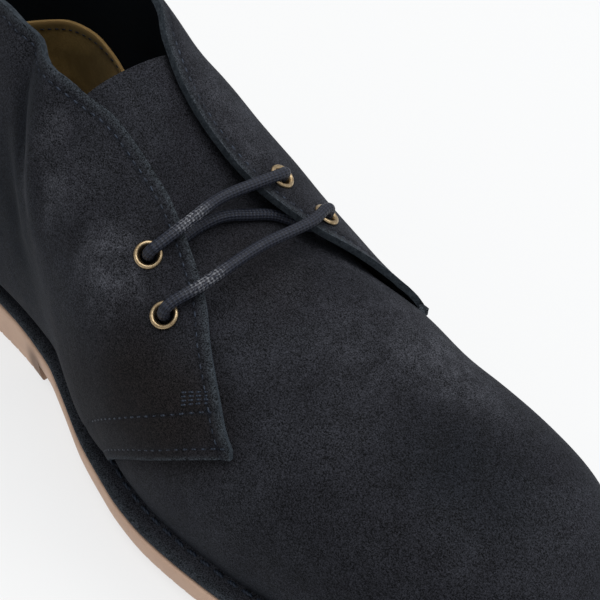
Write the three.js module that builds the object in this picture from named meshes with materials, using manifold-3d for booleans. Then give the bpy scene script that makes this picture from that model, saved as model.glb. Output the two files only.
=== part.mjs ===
import * as THREE from 'three';
import { mergeVertices } from 'three/addons/utils/BufferGeometryUtils.js';
import Module from 'manifold-3d';

// A right-foot chukka boot in millimetres. While it is being shaped, x runs from the back of the
// heel (0) to the toe, y is 0 along the middle of the heel with the inner side of the foot at +y,
// and z is the height above the floor. The finished group is moved so that its box is centred.

const LEATHER = 2.2;             // thickness of the suede
const TONGUE_LEATHER = 1.8;
const GAP = 0.3;                 // clearance left between neighbouring solids
const THROAT_GAP = 0.5;          // clearance between the vamp and the tongue that carries on from it
const HEEL_POINT = 9;            // x of the upper's back edge at the sole
const TOE_POINT = 291;           // x of the upper's tip at the sole
const TOE_CAP_START = 237;       // x where the sides begin to close round the toe
const TOE_SQUARENESS = 2.4;
const HEEL_RADIUS = 42;
const HEEL_SQUARENESS = 2.1;
const CROWN_ROUNDNESS = 2.4;
const SWELL_RISE = 11;           // height over which the sides swell out above the sole

const FLANGE_OVER_SOLE = 1.9;    // the upper turns out this far above the sole's top face
const RIM = 0.8;                 // the sole sticks out this far beyond the turned-out edge
const SOLE_WALL = 10;            // height of the sole's edge ahead of the heel
const HEEL_BREAST = 91;          // x of the heel's front face
const SOLE_DRAFT = 1.2;          // how much narrower the sole is at the floor
const TREAD_DEPTH = 2;
const TREAD_WIDTH = 3.2;
const TREAD_PITCH = 11;
const INSOLE = 3;                // thickness of the insole

const TONGUE_TIP_X = 108;
const FACING_LIFT = 2.8;         // room under the facings for the tongue
const LACE_LIFT = 1.4;           // extra room where the lace runs under the facings
const TONGUE_DIP = 2.5;          // how far the lace presses the tongue in
const TONGUE_SET_IN = 0.9;        // how far the tongue lies inside the foot form's surface
const LACING = { x: 152.5, z: 81.5, spread: 18 };

const LACE_RADIUS = 1.8;
const EYELET_HOLE = 4.9;         // diameter the lace passes through
const EYELET_ACROSS = 8.6;
const EYELET_BARREL = 6;
const EYELET_PUNCH = 6.6;        // diameter of the hole in the leather
const EYELETS = [
  { name: 'top', x: 146.2, outer: 24.3, inner: 22.6 },
  { name: 'bottom', x: 162, outer: 30.5, inner: 27 },
];

// One row for each section of the foot form. axis is its middle line, outer and inner are its half
// widths where it meets the sole, swellOuter and swellInner the extra half width just above, sole
// is the height of the sole's top face, ridge that of the top of the foot, and boxOuter and
// boxInner say how upright each side stays before it turns over.
const SECTIONS = [
  { x: 0, axis: 0, outer: 25, inner: 27, swellOuter: 6.5, swellInner: 6.5 },
  { x: 25, axis: 0, outer: 25, inner: 27, swellOuter: 6.5, swellInner: 6.5 },
  { x: 50, axis: 0, outer: 25.5, inner: 27.5, swellOuter: 6.5, swellInner: 6.5 },
  { x: 75, axis: 0.5, outer: 27, inner: 27.3, swellOuter: 6, swellInner: 7 },
  { x: 100, axis: 1, outer: 30.5, inner: 28.5, swellOuter: 5, swellInner: 8.6 },
  { x: 112, axis: 1.2, outer: 34, inner: 31.5, swellOuter: 4.2, swellInner: 9 },
  { x: 125, axis: 1.5, outer: 38.5, inner: 34, swellOuter: 3.5, swellInner: 8.4 },
  { x: 137, axis: 1.6, outer: 42.6, inner: 36, swellOuter: 3, swellInner: 7.3 },
  { x: 150, axis: 1.7, outer: 46, inner: 37.6, swellOuter: 2.5, swellInner: 6 },
  { x: 162, axis: 1.8, outer: 48.6, inner: 38.8, swellOuter: 2.2, swellInner: 4.9 },
  { x: 175, axis: 2, outer: 50, inner: 40.6, swellOuter: 2, swellInner: 2.8 },
  { x: 185, axis: 2.4, outer: 50.3, inner: 42.2, swellOuter: 2, swellInner: 1.7 },
  { x: 205, axis: 3.2, outer: 49.6, inner: 44, swellOuter: 2, swellInner: 1 },
  { x: 225, axis: 4.5, outer: 47.5, inner: 43.8, swellOuter: 2, swellInner: 0.7 },
  { x: 250, axis: 6.5, outer: 44, inner: 41.6, swellOuter: 2, swellInner: 0.8 },
  { x: 275, axis: 9, outer: 41, inner: 40, swellOuter: 2, swellInner: 1.8 },
  { x: 291, axis: 10.5, outer: 40, inner: 39, swellOuter: 2, swellInner: 2 },
];
// How much each side leans in or out with height.
const LEAN = [
  { x: 0, outer: -2, inner: -1 },
  { x: 25, outer: -2.5, inner: -1 },
  { x: 50, outer: -4.5, inner: -1 },
  { x: 75, outer: -6.5, inner: -2 },
  { x: 100, outer: -2.6, inner: -2.6 },
  { x: 112, outer: -2.8, inner: -2.8 },
  { x: 125, outer: -3, inner: -3 },
  { x: 137, outer: -3, inner: -3 },
  { x: 150, outer: -3, inner: -3 },
  { x: 162, outer: -2, inner: -2 },
  { x: 175, outer: 0, inner: 0 },
  { x: 185, outer: 0, inner: 0 },
  { x: 205, outer: 0, inner: 0 },
  { x: 225, outer: 0, inner: 0 },
  { x: 250, outer: 0, inner: 0 },
  { x: 275, outer: 0, inner: 0 },
  { x: 291, outer: 0, inner: 0 },
];
const PROFILE = [
  { x: 0, sole: 18.5, ridge: 244, boxOuter: 3.4, boxInner: 3.6 },
  { x: 25, sole: 18.3, ridge: 214, boxOuter: 3.4, boxInner: 3.8 },
  { x: 50, sole: 17.9, ridge: 184, boxOuter: 3.4, boxInner: 4 },
  { x: 75, sole: 16.8, ridge: 156, boxOuter: 3.5, boxInner: 4.4 },
  { x: 97, sole: 15.2, ridge: 134.5, boxOuter: 3.6, boxInner: 5 },
  { x: 107, sole: 14.4, ridge: 122.4, boxOuter: 3.6, boxInner: 5 },
  { x: 116, sole: 13.7, ridge: 114.2, boxOuter: 3.6, boxInner: 5 },
  { x: 125, sole: 12.9, ridge: 106, boxOuter: 3.6, boxInner: 5 },
  { x: 137, sole: 12, ridge: 96.9, boxOuter: 3.6, boxInner: 5 },
  { x: 150, sole: 11.2, ridge: 87.8, boxOuter: 3.6, boxInner: 5 },
  { x: 162, sole: 10.4, ridge: 82.2, boxOuter: 3.5, boxInner: 4.8 },
  { x: 175, sole: 10, ridge: 78, boxOuter: 3.4, boxInner: 4.2 },
  { x: 185, sole: 10, ridge: 75, boxOuter: 3.2, boxInner: 3.8 },
  { x: 205, sole: 10, ridge: 69.8, boxOuter: 3, boxInner: 3.2 },
  { x: 225, sole: 10.6, ridge: 64, boxOuter: 3, boxInner: 2.8 },
  { x: 250, sole: 12.6, ridge: 58.4, boxOuter: 3, boxInner: 2.8 },
  { x: 275, sole: 15.5, ridge: 53.8, boxOuter: 3, boxInner: 2.9 },
  { x: 300, sole: 18.9, ridge: 50, boxOuter: 3, boxInner: 3 },
];

// The back of the heel seen from the side.
const HEEL_BACK = [
  { z: 10, x: 11 }, { z: 18, x: 9 }, { z: 35, x: 5.5 }, { z: 50, x: 5 },
  { z: 70, x: 7 }, { z: 90, x: 10.5 }, { z: 110, x: 14 }, { z: 130, x: 17 },
];

// How far the turned-out edge reaches beyond the foot form, from heel to toe.
const FLANGE = [
  { x: 0, reach: 6 }, { x: 60, reach: 6 }, { x: 100, reach: 6.8 },
  { x: 135, reach: 8 }, { x: 250, reach: 8 }, { x: 300, reach: 7.6 },
];

// The quarter's top edge is the collar, then the facing: the collar's height and the facing's
// distance from the middle. Ahead of the sole its lower edge crosses the vamp to a blunt corner.
const COLLAR = [
  { x: 14, z: 123 }, { x: 20, z: 125 }, { x: 30, z: 129 }, { x: 45, z: 135 }, { x: 58, z: 138.6 },
  { x: 68, z: 139.4 }, { x: 78, z: 138 }, { x: 88, z: 134 }, { x: 96.5, z: 128.4 }, { x: 107, z: 122 },
];
const COLLAR_TO_FACING = { from: 92, to: 106 };
const FACING = [
  { x: 90, width: 20.5 }, { x: 97, width: 18.5 }, { x: 103, width: 15 }, { x: 107.5, width: 13.3 },
  { x: 117.5, width: 9.9 }, { x: 125.5, width: 9.2 }, { x: 135.5, width: 9.6 }, { x: 146, width: 12.1 },
  { x: 157, width: 16 }, { x: 167.5, width: 20.8 }, { x: 178, width: 28.3 }, { x: 188.5, width: 34.5 },
  { x: 196, width: 38.7 }, { x: 200.5, width: 40.6 },
];
const QUARTER_LOWER = [
  { x: 147, z: 12.9 }, { x: 153, z: 22.5 }, { x: 160, z: 30.5 }, { x: 175.5, z: 43 }, { x: 190, z: 51 },
  { x: 201.5, z: 55.6 },
];
// Where the vamp ends and the tongue begins: x against the height share between sole and ridge.
const THROAT = [
  { share: 0, x: 134 }, { share: 0.35, x: 161 }, { share: 0.7, x: 190 },
  { share: 0.9, x: 200 }, { share: 1, x: 202 },
];
// The tongue's hidden side edge seen from the side, from the throat to its top corner.
const TONGUE_SIDE = [
  { x: 180, z: 51 }, { x: 166, z: 60.5 }, { x: 150, z: 70 }, { x: 134, z: 81 }, { x: 119, z: 93 },
  { x: 102.5, z: 109.5 },
];

// Smooth curve through table rows; it never overshoots them and runs straight on past the ends.
function curve(rows, from, to) {
  const xs = rows.map((row) => row[from]);
  const ys = rows.map((row) => row[to]);
  const last = xs.length - 1;
  const slope = [];
  for (let i = 0; i < last; i++) slope.push((ys[i + 1] - ys[i]) / (xs[i + 1] - xs[i]));
  const tangent = xs.map((_, i) => {
    if (i === 0) return slope[0];
    if (i === last) return slope[last - 1];
    const product = slope[i - 1] * slope[i];
    return product <= 0 ? 0 : (2 * product) / (slope[i - 1] + slope[i]);
  });
  return (x) => {
    if (x <= xs[0]) return ys[0] + (x - xs[0]) * tangent[0];
    if (x >= xs[last]) return ys[last] + (x - xs[last]) * tangent[last];
    let i = 0;
    while (x > xs[i + 1]) i++;
    const h = xs[i + 1] - xs[i];
    const t = (x - xs[i]) / h;
    const start = ys[i] * (1 + 2 * t) * (1 - t) ** 2 + tangent[i] * h * t * (1 - t) ** 2;
    return start + ys[i + 1] * t * t * (3 - 2 * t) + tangent[i + 1] * h * t * t * (t - 1);
  };
}

const clamp = (value, low, high) => Math.min(Math.max(value, low), high);
const mix = (a, b, t) => a + (b - a) * t;
const smooth = (low, high, value) => {
  const t = clamp((value - low) / (high - low), 0, 1);
  return t * t * (3 - 2 * t);
};

const axisAt = curve(SECTIONS, 'x', 'axis');
const outerAt = curve(SECTIONS, 'x', 'outer');
const innerAt = curve(SECTIONS, 'x', 'inner');
const swellOuterAt = curve(SECTIONS, 'x', 'swellOuter');
const swellInnerAt = curve(SECTIONS, 'x', 'swellInner');
const leanOuterAt = curve(LEAN, 'x', 'outer');
const leanInnerAt = curve(LEAN, 'x', 'inner');
const soleAt = curve(PROFILE, 'x', 'sole');
const ridgeAt = curve(PROFILE, 'x', 'ridge');
const boxOuterAt = curve(PROFILE, 'x', 'boxOuter');
const boxInnerAt = curve(PROFILE, 'x', 'boxInner');
const heelBackAt = curve(HEEL_BACK, 'z', 'x');
const flangeAt = curve(FLANGE, 'x', 'reach');

const seatAt = (x) => soleAt(x) + FLANGE_OVER_SOLE;
const toeClosing = (x) => {
  const t = clamp((x - TOE_CAP_START) / (TOE_POINT - TOE_CAP_START), 0, 1);
  return (1 - t ** TOE_SQUARENESS) ** (1 / TOE_SQUARENESS);
};
const heelClosing = (x, z) => {
  const t = clamp((x - heelBackAt(z)) / HEEL_RADIUS, 0, 1);
  return (1 - (1 - t) ** HEEL_SQUARENESS) ** (1 / HEEL_SQUARENESS);
};
const crownAt = (x) => seatAt(x) + (ridgeAt(x) - seatAt(x)) * toeClosing(x);

// Half width of the foot form at height z before it turns over the foot; side is -1 for the outer
// side and +1 for the inner.
function uprightWidth(x, z, side) {
  const rise = Math.max(z - seatAt(x), 0);
  const swell = side < 0 ? swellOuterAt(x) : swellInnerAt(x);
  const flat = (side < 0 ? outerAt(x) : innerAt(x)) + swell * (1 - Math.exp(-((rise / SWELL_RISE) ** 1.6)));
  const lean = (side < 0 ? leanOuterAt(x) : leanInnerAt(x)) * (rise / 100) ** 2;
  return (flat + lean) * heelClosing(x, z) * toeClosing(x);
}
const boxAt = (x, side) => (side < 0 ? boxOuterAt(x) : boxInnerAt(x));
function halfWidth(x, z, side) {
  const share = clamp((z - seatAt(x)) / Math.max(crownAt(x) - seatAt(x), 1e-6), 0, 1);
  return uprightWidth(x, z, side) * (1 - share ** boxAt(x, side)) ** (1 / CROWN_ROUNDNESS);
}
// Place on the top of the foot at a given half width, worked out from the section.
function topPlace(x, width, side) {
  const turn = clamp(width / uprightWidth(x, crownAt(x), side), 0, 1);
  const share = (1 - turn ** CROWN_ROUNDNESS) ** (1 / boxAt(x, side));
  return { x, z: mix(seatAt(x), crownAt(x), share) };
}
const onForm = ({ x, z }, side) => new THREE.Vector3(x, axisAt(x) + side * halfWidth(x, z, side), z);

// Place at a share (0 to 1) of the way along a side-view table.
function along(rows) {
  const path = new THREE.CatmullRomCurve3(rows.map((row) => new THREE.Vector3(row.x, 0, row.z)), false, 'centripetal');
  return (t) => path.getPointAt(clamp(t, 0, 1));
}
// Four-sided patch in the side view: near and far are its sides, low and high its ends.
function patch(near, far, low, high) {
  const corner = [low(0), low(1), high(0), high(1)];
  const blend = (s, v, k) => {
    const sides = mix(near(v)[k], far(v)[k], s) + mix(low(s)[k], high(s)[k], v);
    return sides - mix(mix(corner[0][k], corner[1][k], s), mix(corner[2][k], corner[3][k], s), v);
  };
  return (s, v) => ({ x: blend(s, v, 'x'), z: blend(s, v, 'z') });
}

const wasm = await Module();
wasm.setup();

function toManifold(geometry) {
  const bare = new THREE.BufferGeometry();
  const source = geometry.index ? geometry.toNonIndexed() : geometry;
  bare.setAttribute('position', source.getAttribute('position').clone());
  const merged = mergeVertices(bare, 1e-4);
  const mesh = new wasm.Mesh({
    numProp: 3,
    vertProperties: new Float32Array(merged.attributes.position.array),
    triVerts: new Uint32Array(merged.index.array),
  });
  return new wasm.Manifold(mesh);
}
function fromManifold(solid) {
  const mesh = solid.getMesh();
  const geometry = new THREE.BufferGeometry();
  geometry.setAttribute('position', new THREE.BufferAttribute(new Float32Array(mesh.vertProperties), 3));
  geometry.setIndex(new THREE.BufferAttribute(new Uint32Array(mesh.triVerts), 1));
  return geometry;
}

// Gathers triangles between Vector3 corners and leaves out those that shrink to nothing.
class Faces {
  constructor() {
    this.corners = [];
  }
  triangle(a, b, c) {
    if (a !== b && b !== c && c !== a) this.corners.push(a, b, c);
  }
  quad(a, b, c, d) {
    this.triangle(a, b, c);
    this.triangle(a, c, d);
  }
  solid() {
    const geometry = new THREE.BufferGeometry().setFromPoints(this.corners);
    return toManifold(geometry);
  }
}

// A sheet of leather from a grid of places on the foot form. from and to give how far its inside
// and outside stand off the form at each grid place. A pole ends the grid in a single point.
function sheet(grid, from, to, pole = false) {
  const rows = grid.length;
  const columns = grid[0].length;
  const inside = [];
  const outside = [];
  for (let i = 0; i < rows; i++) {
    inside.push([]);
    outside.push([]);
    for (let j = 0; j < columns; j++) {
      if (pole && i === rows - 1) {
        const ahead = new THREE.Vector3(1, 0, 0);
        inside[i].push(j ? inside[i][0] : grid[i][0].clone().addScaledVector(ahead, from(i, j)));
        outside[i].push(j ? outside[i][0] : grid[i][0].clone().addScaledVector(ahead, to(i, j)));
        continue;
      }
      const across = grid[i][Math.min(j + 1, columns - 1)].clone().sub(grid[i][Math.max(j - 1, 0)]);
      const up = grid[Math.min(i + 1, rows - 1)][j].clone().sub(grid[Math.max(i - 1, 0)][j]);
      const normal = up.cross(across).normalize();
      inside[i].push(grid[i][j].clone().addScaledVector(normal, from(i, j)));
      outside[i].push(grid[i][j].clone().addScaledVector(normal, to(i, j)));
    }
  }
  const faces = new Faces();
  for (let i = 0; i < rows - 1; i++) {
    for (let j = 0; j < columns - 1; j++) {
      faces.quad(outside[i][j], outside[i + 1][j], outside[i + 1][j + 1], outside[i][j + 1]);
      faces.quad(inside[i][j], inside[i][j + 1], inside[i + 1][j + 1], inside[i + 1][j]);
    }
  }
  const rim = [];
  for (let j = 0; j < columns; j++) rim.push([0, j]);
  for (let i = 1; i < rows; i++) rim.push([i, columns - 1]);
  for (let j = columns - 2; j >= 0; j--) rim.push([rows - 1, j]);
  for (let i = rows - 2; i > 0; i--) rim.push([i, 0]);
  rim.forEach(([i, j], k) => {
    const [p, q] = rim[(k + 1) % rim.length];
    faces.quad(inside[i][j], outside[i][j], outside[p][q], inside[p][q]);
  });
  return faces.solid();
}

// The boot's outline in plan at the sole, moved outwards by reach. turn runs once round it, from
// the heel along the outer side to the toe and back along the inner side.
const OUTLINE_STEPS = 64;
function outlinePoint(step, reach, heightAt) {
  const place = (k) => {
    const turn = (2 * Math.PI * k) / OUTLINE_STEPS;
    const x = HEEL_POINT + ((TOE_POINT - HEEL_POINT) * (1 - Math.cos(turn))) / 2;
    const side = turn <= Math.PI ? -1 : 1;
    return onForm({ x, z: seatAt(x) }, side);
  };
  const here = place(step);
  const ahead = place((step + 0.5) % OUTLINE_STEPS).sub(place((step + OUTLINE_STEPS - 0.5) % OUTLINE_STEPS));
  const out = new THREE.Vector3(ahead.y, -ahead.x, 0).normalize();
  const moved = here.addScaledVector(out, reach(here.x));
  moved.z = heightAt(moved.x);
  return moved;
}
const outline = (reach, heightAt) =>
  Array.from({ length: OUTLINE_STEPS }, (_, step) => outlinePoint(step, reach, heightAt));

// A solid between loops stacked upwards; its two ends are closed by rungs from side to side.
function stack(loops) {
  const faces = new Faces();
  const count = OUTLINE_STEPS;
  for (let k = 0; k < loops.length - 1; k++) {
    for (let i = 0; i < count; i++) {
      const next = (i + 1) % count;
      faces.quad(loops[k][i], loops[k][next], loops[k + 1][next], loops[k + 1][i]);
    }
  }
  const top = loops[loops.length - 1];
  for (let i = 0; i < count / 2; i++) {
    const opposite = (count - i) % count;
    faces.quad(top[i], top[i + 1], top[(opposite + count - 1) % count], top[opposite]);
    faces.quad(loops[0][opposite], loops[0][(opposite + count - 1) % count], loops[0][i + 1], loops[0][i]);
  }
  return faces.solid();
}
// A closed ring whose section runs through the given loops in turn.
function ring(loops) {
  const faces = new Faces();
  for (let k = 0; k < loops.length; k++) {
    const nextLoop = loops[(k + 1) % loops.length];
    for (let i = 0; i < OUTLINE_STEPS; i++) {
      const next = (i + 1) % OUTLINE_STEPS;
      faces.quad(loops[k][i], loops[k][next], nextLoop[next], nextLoop[i]);
    }
  }
  return faces.solid();
}

// Room the lace needs between facing and tongue, most at the eyelets.
const laceRoom = (x, z) => Math.exp(-((x - LACING.x) ** 2 + (z - LACING.z) ** 2) / (2 * LACING.spread ** 2));

// Quarters: one sheet from the outer facing round the heel to the inner facing.
const QUARTER_ROWS = 13;
const QUARTER_COLUMNS = 19;
const collarAt = curve(COLLAR, 'x', 'z');
const facingAt = curve(FACING, 'x', 'width');
const quarterLower = curve(QUARTER_LOWER, 'x', 'z');
const quarterTop = (x, side) => {
  const share = smooth(COLLAR_TO_FACING.from, COLLAR_TO_FACING.to, x);
  return mix(collarAt(x), share > 0 ? topPlace(x, facingAt(x), side).z : 0, share);
};
const collarBack = COLLAR[0];
const frontHigh = FACING[FACING.length - 1];
const frontLow = QUARTER_LOWER[QUARTER_LOWER.length - 1];
const quarterPatch = (side) => patch(
  (v) => {
    const z = mix(seatAt(HEEL_POINT), collarBack.z, v);
    return { x: heelBackAt(z), z };
  },
  (v) => ({ x: mix(frontLow.x, frontHigh.x, v), z: mix(frontLow.z, quarterTop(frontHigh.x, side), v) }),
  (s) => {
    const x = mix(heelBackAt(seatAt(HEEL_POINT)), frontLow.x, s);
    return { x, z: x < QUARTER_LOWER[0].x ? seatAt(x) : quarterLower(x) };
  },
  (s) => {
    const x = mix(heelBackAt(collarBack.z), frontHigh.x, s);
    return { x, z: quarterTop(x, side) };
  },
);
const quarterPatches = { '-1': quarterPatch(-1), 1: quarterPatch(1) };
const quarterPlaces = [];
for (let i = 0; i <= QUARTER_ROWS; i++) {
  const row = [];
  for (let j = -QUARTER_COLUMNS; j <= QUARTER_COLUMNS; j++) {
    const t = Math.abs(j / QUARTER_COLUMNS);
    const s = 1 - (Math.cos(Math.PI * t) + 1) / 4 - Math.cos((Math.PI / 2) * t) / 2;
    const side = j < 0 ? -1 : 1;
    row.push({ ...quarterPatches[side](s, i / QUARTER_ROWS), side });
  }
  quarterPlaces.push(row);
}
const quarterLift = ({ x, z }) => FACING_LIFT * smooth(118, 150, x + 0.45 * z) + LACE_LIFT * laceRoom(x, z);
const quarters = sheet(
  quarterPlaces.map((row) => row.map((place) => onForm(place, place.side))),
  (i, j) => quarterLift(quarterPlaces[i][j]),
  (i, j) => quarterLift(quarterPlaces[i][j]) + LEATHER,
);

// Ridge of the foot from the throat forward, and how far down from it each column lies.
const RIDGE_SPACING = 2.4;
const throatX = curve(THROAT, 'share', 'x');
const throatPlace = (share, back) => {
  const x = throatX(share) - back;
  return { x, z: mix(seatAt(x), crownAt(x), share) };
};

// Vamp: from the throat over the forefoot to the tip of the toe.
const VAMP_ROWS = 17;
const VAMP_COLUMNS = 11;
const vampPatch = patch(
  (v) => {
    const x = mix(throatX(1), TOE_POINT, v);
    return { x, z: crownAt(x) };
  },
  (v) => {
    const x = mix(throatX(0), TOE_POINT, v);
    return { x, z: seatAt(x) };
  },
  (s) => throatPlace(1 - s, 0),
  () => ({ x: TOE_POINT, z: seatAt(TOE_POINT) }),
);
const vampPlaces = [];
for (let i = 0; i <= VAMP_ROWS; i++) {
  const v = Math.sin((Math.PI / 2) * (i / VAMP_ROWS));
  const row = [];
  for (let j = -VAMP_COLUMNS; j <= VAMP_COLUMNS; j++) {
    const s = Math.abs(j / VAMP_COLUMNS) ** RIDGE_SPACING;
    row.push({ ...vampPatch(s, v), v, side: j < 0 ? -1 : 1 });
  }
  vampPlaces.push(row);
}
// Under the quarter the vamp is made a little fuller so that the two fuse.
const hidden = ({ x, z, side }) =>
  smooth(0, 4, z - quarterLower(x)) * smooth(0, 4, quarterTop(x, side) - z);
const FUSE = 1.2;
const vamp = sheet(
  vampPlaces.map((row) => row.map((place) => onForm(place, place.side))),
  () => 0,
  (i, j) => LEATHER + FUSE * hidden(vampPlaces[i][j]),
  true,
);

// The upper's edge turned outwards over the sole all round.
const flange = ring([
  outline(() => GAP, (x) => soleAt(x) + GAP),
  outline(flangeAt, (x) => soleAt(x) + GAP),
  outline(flangeAt, (x) => soleAt(x) + GAP + LEATHER),
  outline(() => GAP, (x) => soleAt(x) + GAP + LEATHER),
]);

// Tongue: carries on from the vamp under the facings.
const TONGUE_ROWS = 14;
const TONGUE_COLUMNS = 7;
const tongueSide = along(TONGUE_SIDE);
const tongueRidge = (v) => {
  const x = mix(throatX(1) - THROAT_GAP, TONGUE_TIP_X, v);
  return { x, z: crownAt(x) };
};
const sideShare = (TONGUE_SIDE[0].z - seatAt(TONGUE_SIDE[0].x)) / (crownAt(TONGUE_SIDE[0].x) - seatAt(TONGUE_SIDE[0].x));
const tongueStart = throatPlace(sideShare, THROAT_GAP);
const tonguePatch = patch(
  tongueRidge,
  (v) => {
    const place = tongueSide(v);
    const pull = 1 - smooth(0, 0.25, v);
    return { x: place.x + pull * (tongueStart.x - TONGUE_SIDE[0].x), z: place.z + pull * (tongueStart.z - TONGUE_SIDE[0].z) };
  },
  (s) => throatPlace(mix(1, sideShare, s), THROAT_GAP),
  (s) => {
    const top = tongueRidge(1);
    const end = tongueSide(1);
    return { x: mix(top.x, end.x, s) + 3 * s * (1 - s), z: mix(top.z, end.z, s) + 4 * s * (1 - s) };
  },
);
const tonguePlaces = [];
for (let i = 0; i <= TONGUE_ROWS; i++) {
  const row = [];
  for (let j = -TONGUE_COLUMNS; j <= TONGUE_COLUMNS; j++) {
    const s = Math.abs(j / TONGUE_COLUMNS) ** RIDGE_SPACING;
    row.push({ ...tonguePatch(s, i / TONGUE_ROWS), side: j < 0 ? -1 : 1 });
  }
  tonguePlaces.push(row);
}
const tongueDip = ({ x, z }) => -TONGUE_DIP * laceRoom(x, z) - TONGUE_SET_IN * smooth(0, 25, 200 - x);
const tongue = sheet(
  tonguePlaces.map((row) => row.map((place) => onForm(place, place.side))).reverse(),
  (i, j) => tongueDip(tonguePlaces[TONGUE_ROWS - i][j]),
  (i, j) => tongueDip(tonguePlaces[TONGUE_ROWS - i][j]) + TONGUE_LEATHER,
);

// Place and outward direction at a distance off the foot form.
function offForm(place, side, reach) {
  const here = onForm(place, side);
  const forward = onForm({ x: place.x + 0.4, z: place.z }, side).sub(onForm({ x: place.x - 0.4, z: place.z }, side));
  const upward = onForm({ x: place.x, z: place.z + 0.4 }, side).sub(onForm({ x: place.x, z: place.z - 0.4 }, side));
  const normal = forward.cross(upward).normalize().multiplyScalar(-side);
  return { point: here.addScaledVector(normal, reach), normal };
}
const eyeletPlaces = [];
for (const eyelet of EYELETS) {
  for (const side of [-1, 1]) {
    const place = topPlace(eyelet.x, side < 0 ? eyelet.outer : eyelet.inner, side);
    const face = quarterLift(place) + LEATHER;
    const name = `eyelet_${side < 0 ? 'outer' : 'inner'}_${eyelet.name}`;
    eyeletPlaces.push({ name, ...offForm(place, side, face) });
  }
}
const standOn = ({ point, normal }) => new THREE.Matrix4().compose(
  point,
  new THREE.Quaternion().setFromUnitVectors(new THREE.Vector3(0, 0, 1), normal),
  new THREE.Vector3(1, 1, 1),
);

// Turned solid about the z axis from a closed list of radius and height pairs.
function turned(profile, segments) {
  const points = [...profile, profile[0]].map(([radius, height]) => new THREE.Vector2(radius, height));
  return new THREE.LatheGeometry(points, segments).rotateX(Math.PI / 2);
}
function punch(radius, height) {
  const shape = new THREE.Shape().absarc(0, 0, radius, 0, 2 * Math.PI, false);
  return new THREE.ExtrudeGeometry(shape, { depth: height, bevelEnabled: false, curveSegments: 12 })
    .translate(0, 0, -height / 2);
}

let upper = quarters.add(vamp).add(flange);
for (const eyelet of eyeletPlaces) {
  upper = upper.subtract(toManifold(punch(EYELET_PUNCH / 2, 8).applyMatrix4(standOn(eyelet))));
}

// Insole: lies on the sole inside the upper.
const inset = () => -0.6;
const insole = stack([
  outline(inset, (x) => soleAt(x) + GAP),
  outline(inset, (x) => soleAt(x) + GAP + INSOLE),
]);

// Outsole: one moulding with its heel, the forefoot sole and tread grooves.
const edge = (x) => flangeAt(x) + RIM;
const floorAt = (x) => Math.max(soleAt(x) - SOLE_WALL, 0);
const forefoot = stack([
  outline((x) => edge(x) - SOLE_DRAFT, floorAt),
  outline((x) => edge(x) - 0.4, (x) => floorAt(x) + 2),
  outline(edge, (x) => soleAt(x) - 1.2),
  outline((x) => edge(x) - 0.5, soleAt),
]);
const heelForm = stack([
  outline((x) => edge(x) - SOLE_DRAFT, () => 0),
  outline((x) => edge(x) - 0.4, () => 2),
  outline((x) => edge(x) - 0.1, (x) => soleAt(x) - 3),
]);
const slab = (length, width, height, x, y, z) => toManifold(new THREE.BoxGeometry(length, width, height).translate(x, y, z));
const heel = heelForm.intersect(slab(HEEL_BREAST + 20, 200, 60, HEEL_BREAST / 2 - 10, 0, 20));
let outsole = forefoot.add(heel);
for (let x = 14; x < 292; x += TREAD_PITCH) {
  if (Math.abs(x - HEEL_BREAST) < 9) continue;
  const floor = x < HEEL_BREAST ? 0 : floorAt(x);
  outsole = outsole.subtract(slab(TREAD_WIDTH, 200, 2 * TREAD_DEPTH, x, 0, floor));
}

// Eyelet: a short barrel through the leather with a rolled ring on the outside.
const hole = EYELET_HOLE / 2;
const barrel = EYELET_BARREL / 2;
const across = EYELET_ACROSS / 2;
const eyeletProfile = [
  [hole, -LEATHER + 0.2], [barrel, -LEATHER + 0.2], [barrel, GAP + 0.2], [across - 0.25, GAP + 0.2],
  [across, GAP + 0.5], [across - 0.25, GAP + 0.85], [across - 0.9, GAP + 1.1], [hole + 0.4, GAP + 1.0],
  [hole, GAP + 0.55],
];

// Lace: one cord from under the outer facing, over and under through all four eyelets.
const eyeletCalled = (name) => eyeletPlaces.find((eyelet) => eyelet.name === name);
const outerTop = eyeletCalled('eyelet_outer_top');
const outerBottom = eyeletCalled('eyelet_outer_bottom');
const innerTop = eyeletCalled('eyelet_inner_top');
const innerBottom = eyeletCalled('eyelet_inner_bottom');
// Points of a bend through an eyelet, from beneath the facing to above it. With nothing beneath,
// the cord's end stops just under the leather.
function throughEyelet({ point, normal }, beneath, above) {
  const flat = (toward) => {
    const way = toward.clone().sub(point);
    return way.addScaledVector(normal, -way.dot(normal)).normalize();
  };
  const at = (way, side, height) => point.clone().addScaledVector(way, side).addScaledVector(normal, height);
  const up = flat(above);
  const low = -LEATHER - LACE_RADIUS - 0.7;
  const high = GAP + 1.1 + LACE_RADIUS + GAP;
  const overRing = [at(up, 0, 0.4), at(up, 0.25, high - 1.7), at(up, 1.7, high - 0.15), at(up, 4, high)];
  if (!beneath) return [at(up, 0, -LEATHER - 1.2), at(up, 0, -LEATHER + 0.4), ...overRing];
  const down = flat(beneath);
  const underLeather = [at(down, 4.2, low - 0.3), at(down, 1.7, low + 0.1), at(down, 0.3, low + 1.4)];
  return [...underLeather, at(down, 0, -LEATHER + 0.6), ...overRing];
}
const overTongue = (x, width, side) => {
  const place = topPlace(x, width, side);
  return offForm(place, side, tongueDip(place) + TONGUE_LEATHER + LACE_RADIUS + GAP).point;
};
const overFacing = (x, width, side) => {
  const place = topPlace(x, width, side);
  return offForm(place, side, quarterLift(place) + LEATHER + LACE_RADIUS + 2 * GAP).point;
};
const crest = (x, reach) => new THREE.Vector3(x, axisAt(x), crownAt(x) + reach);
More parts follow.
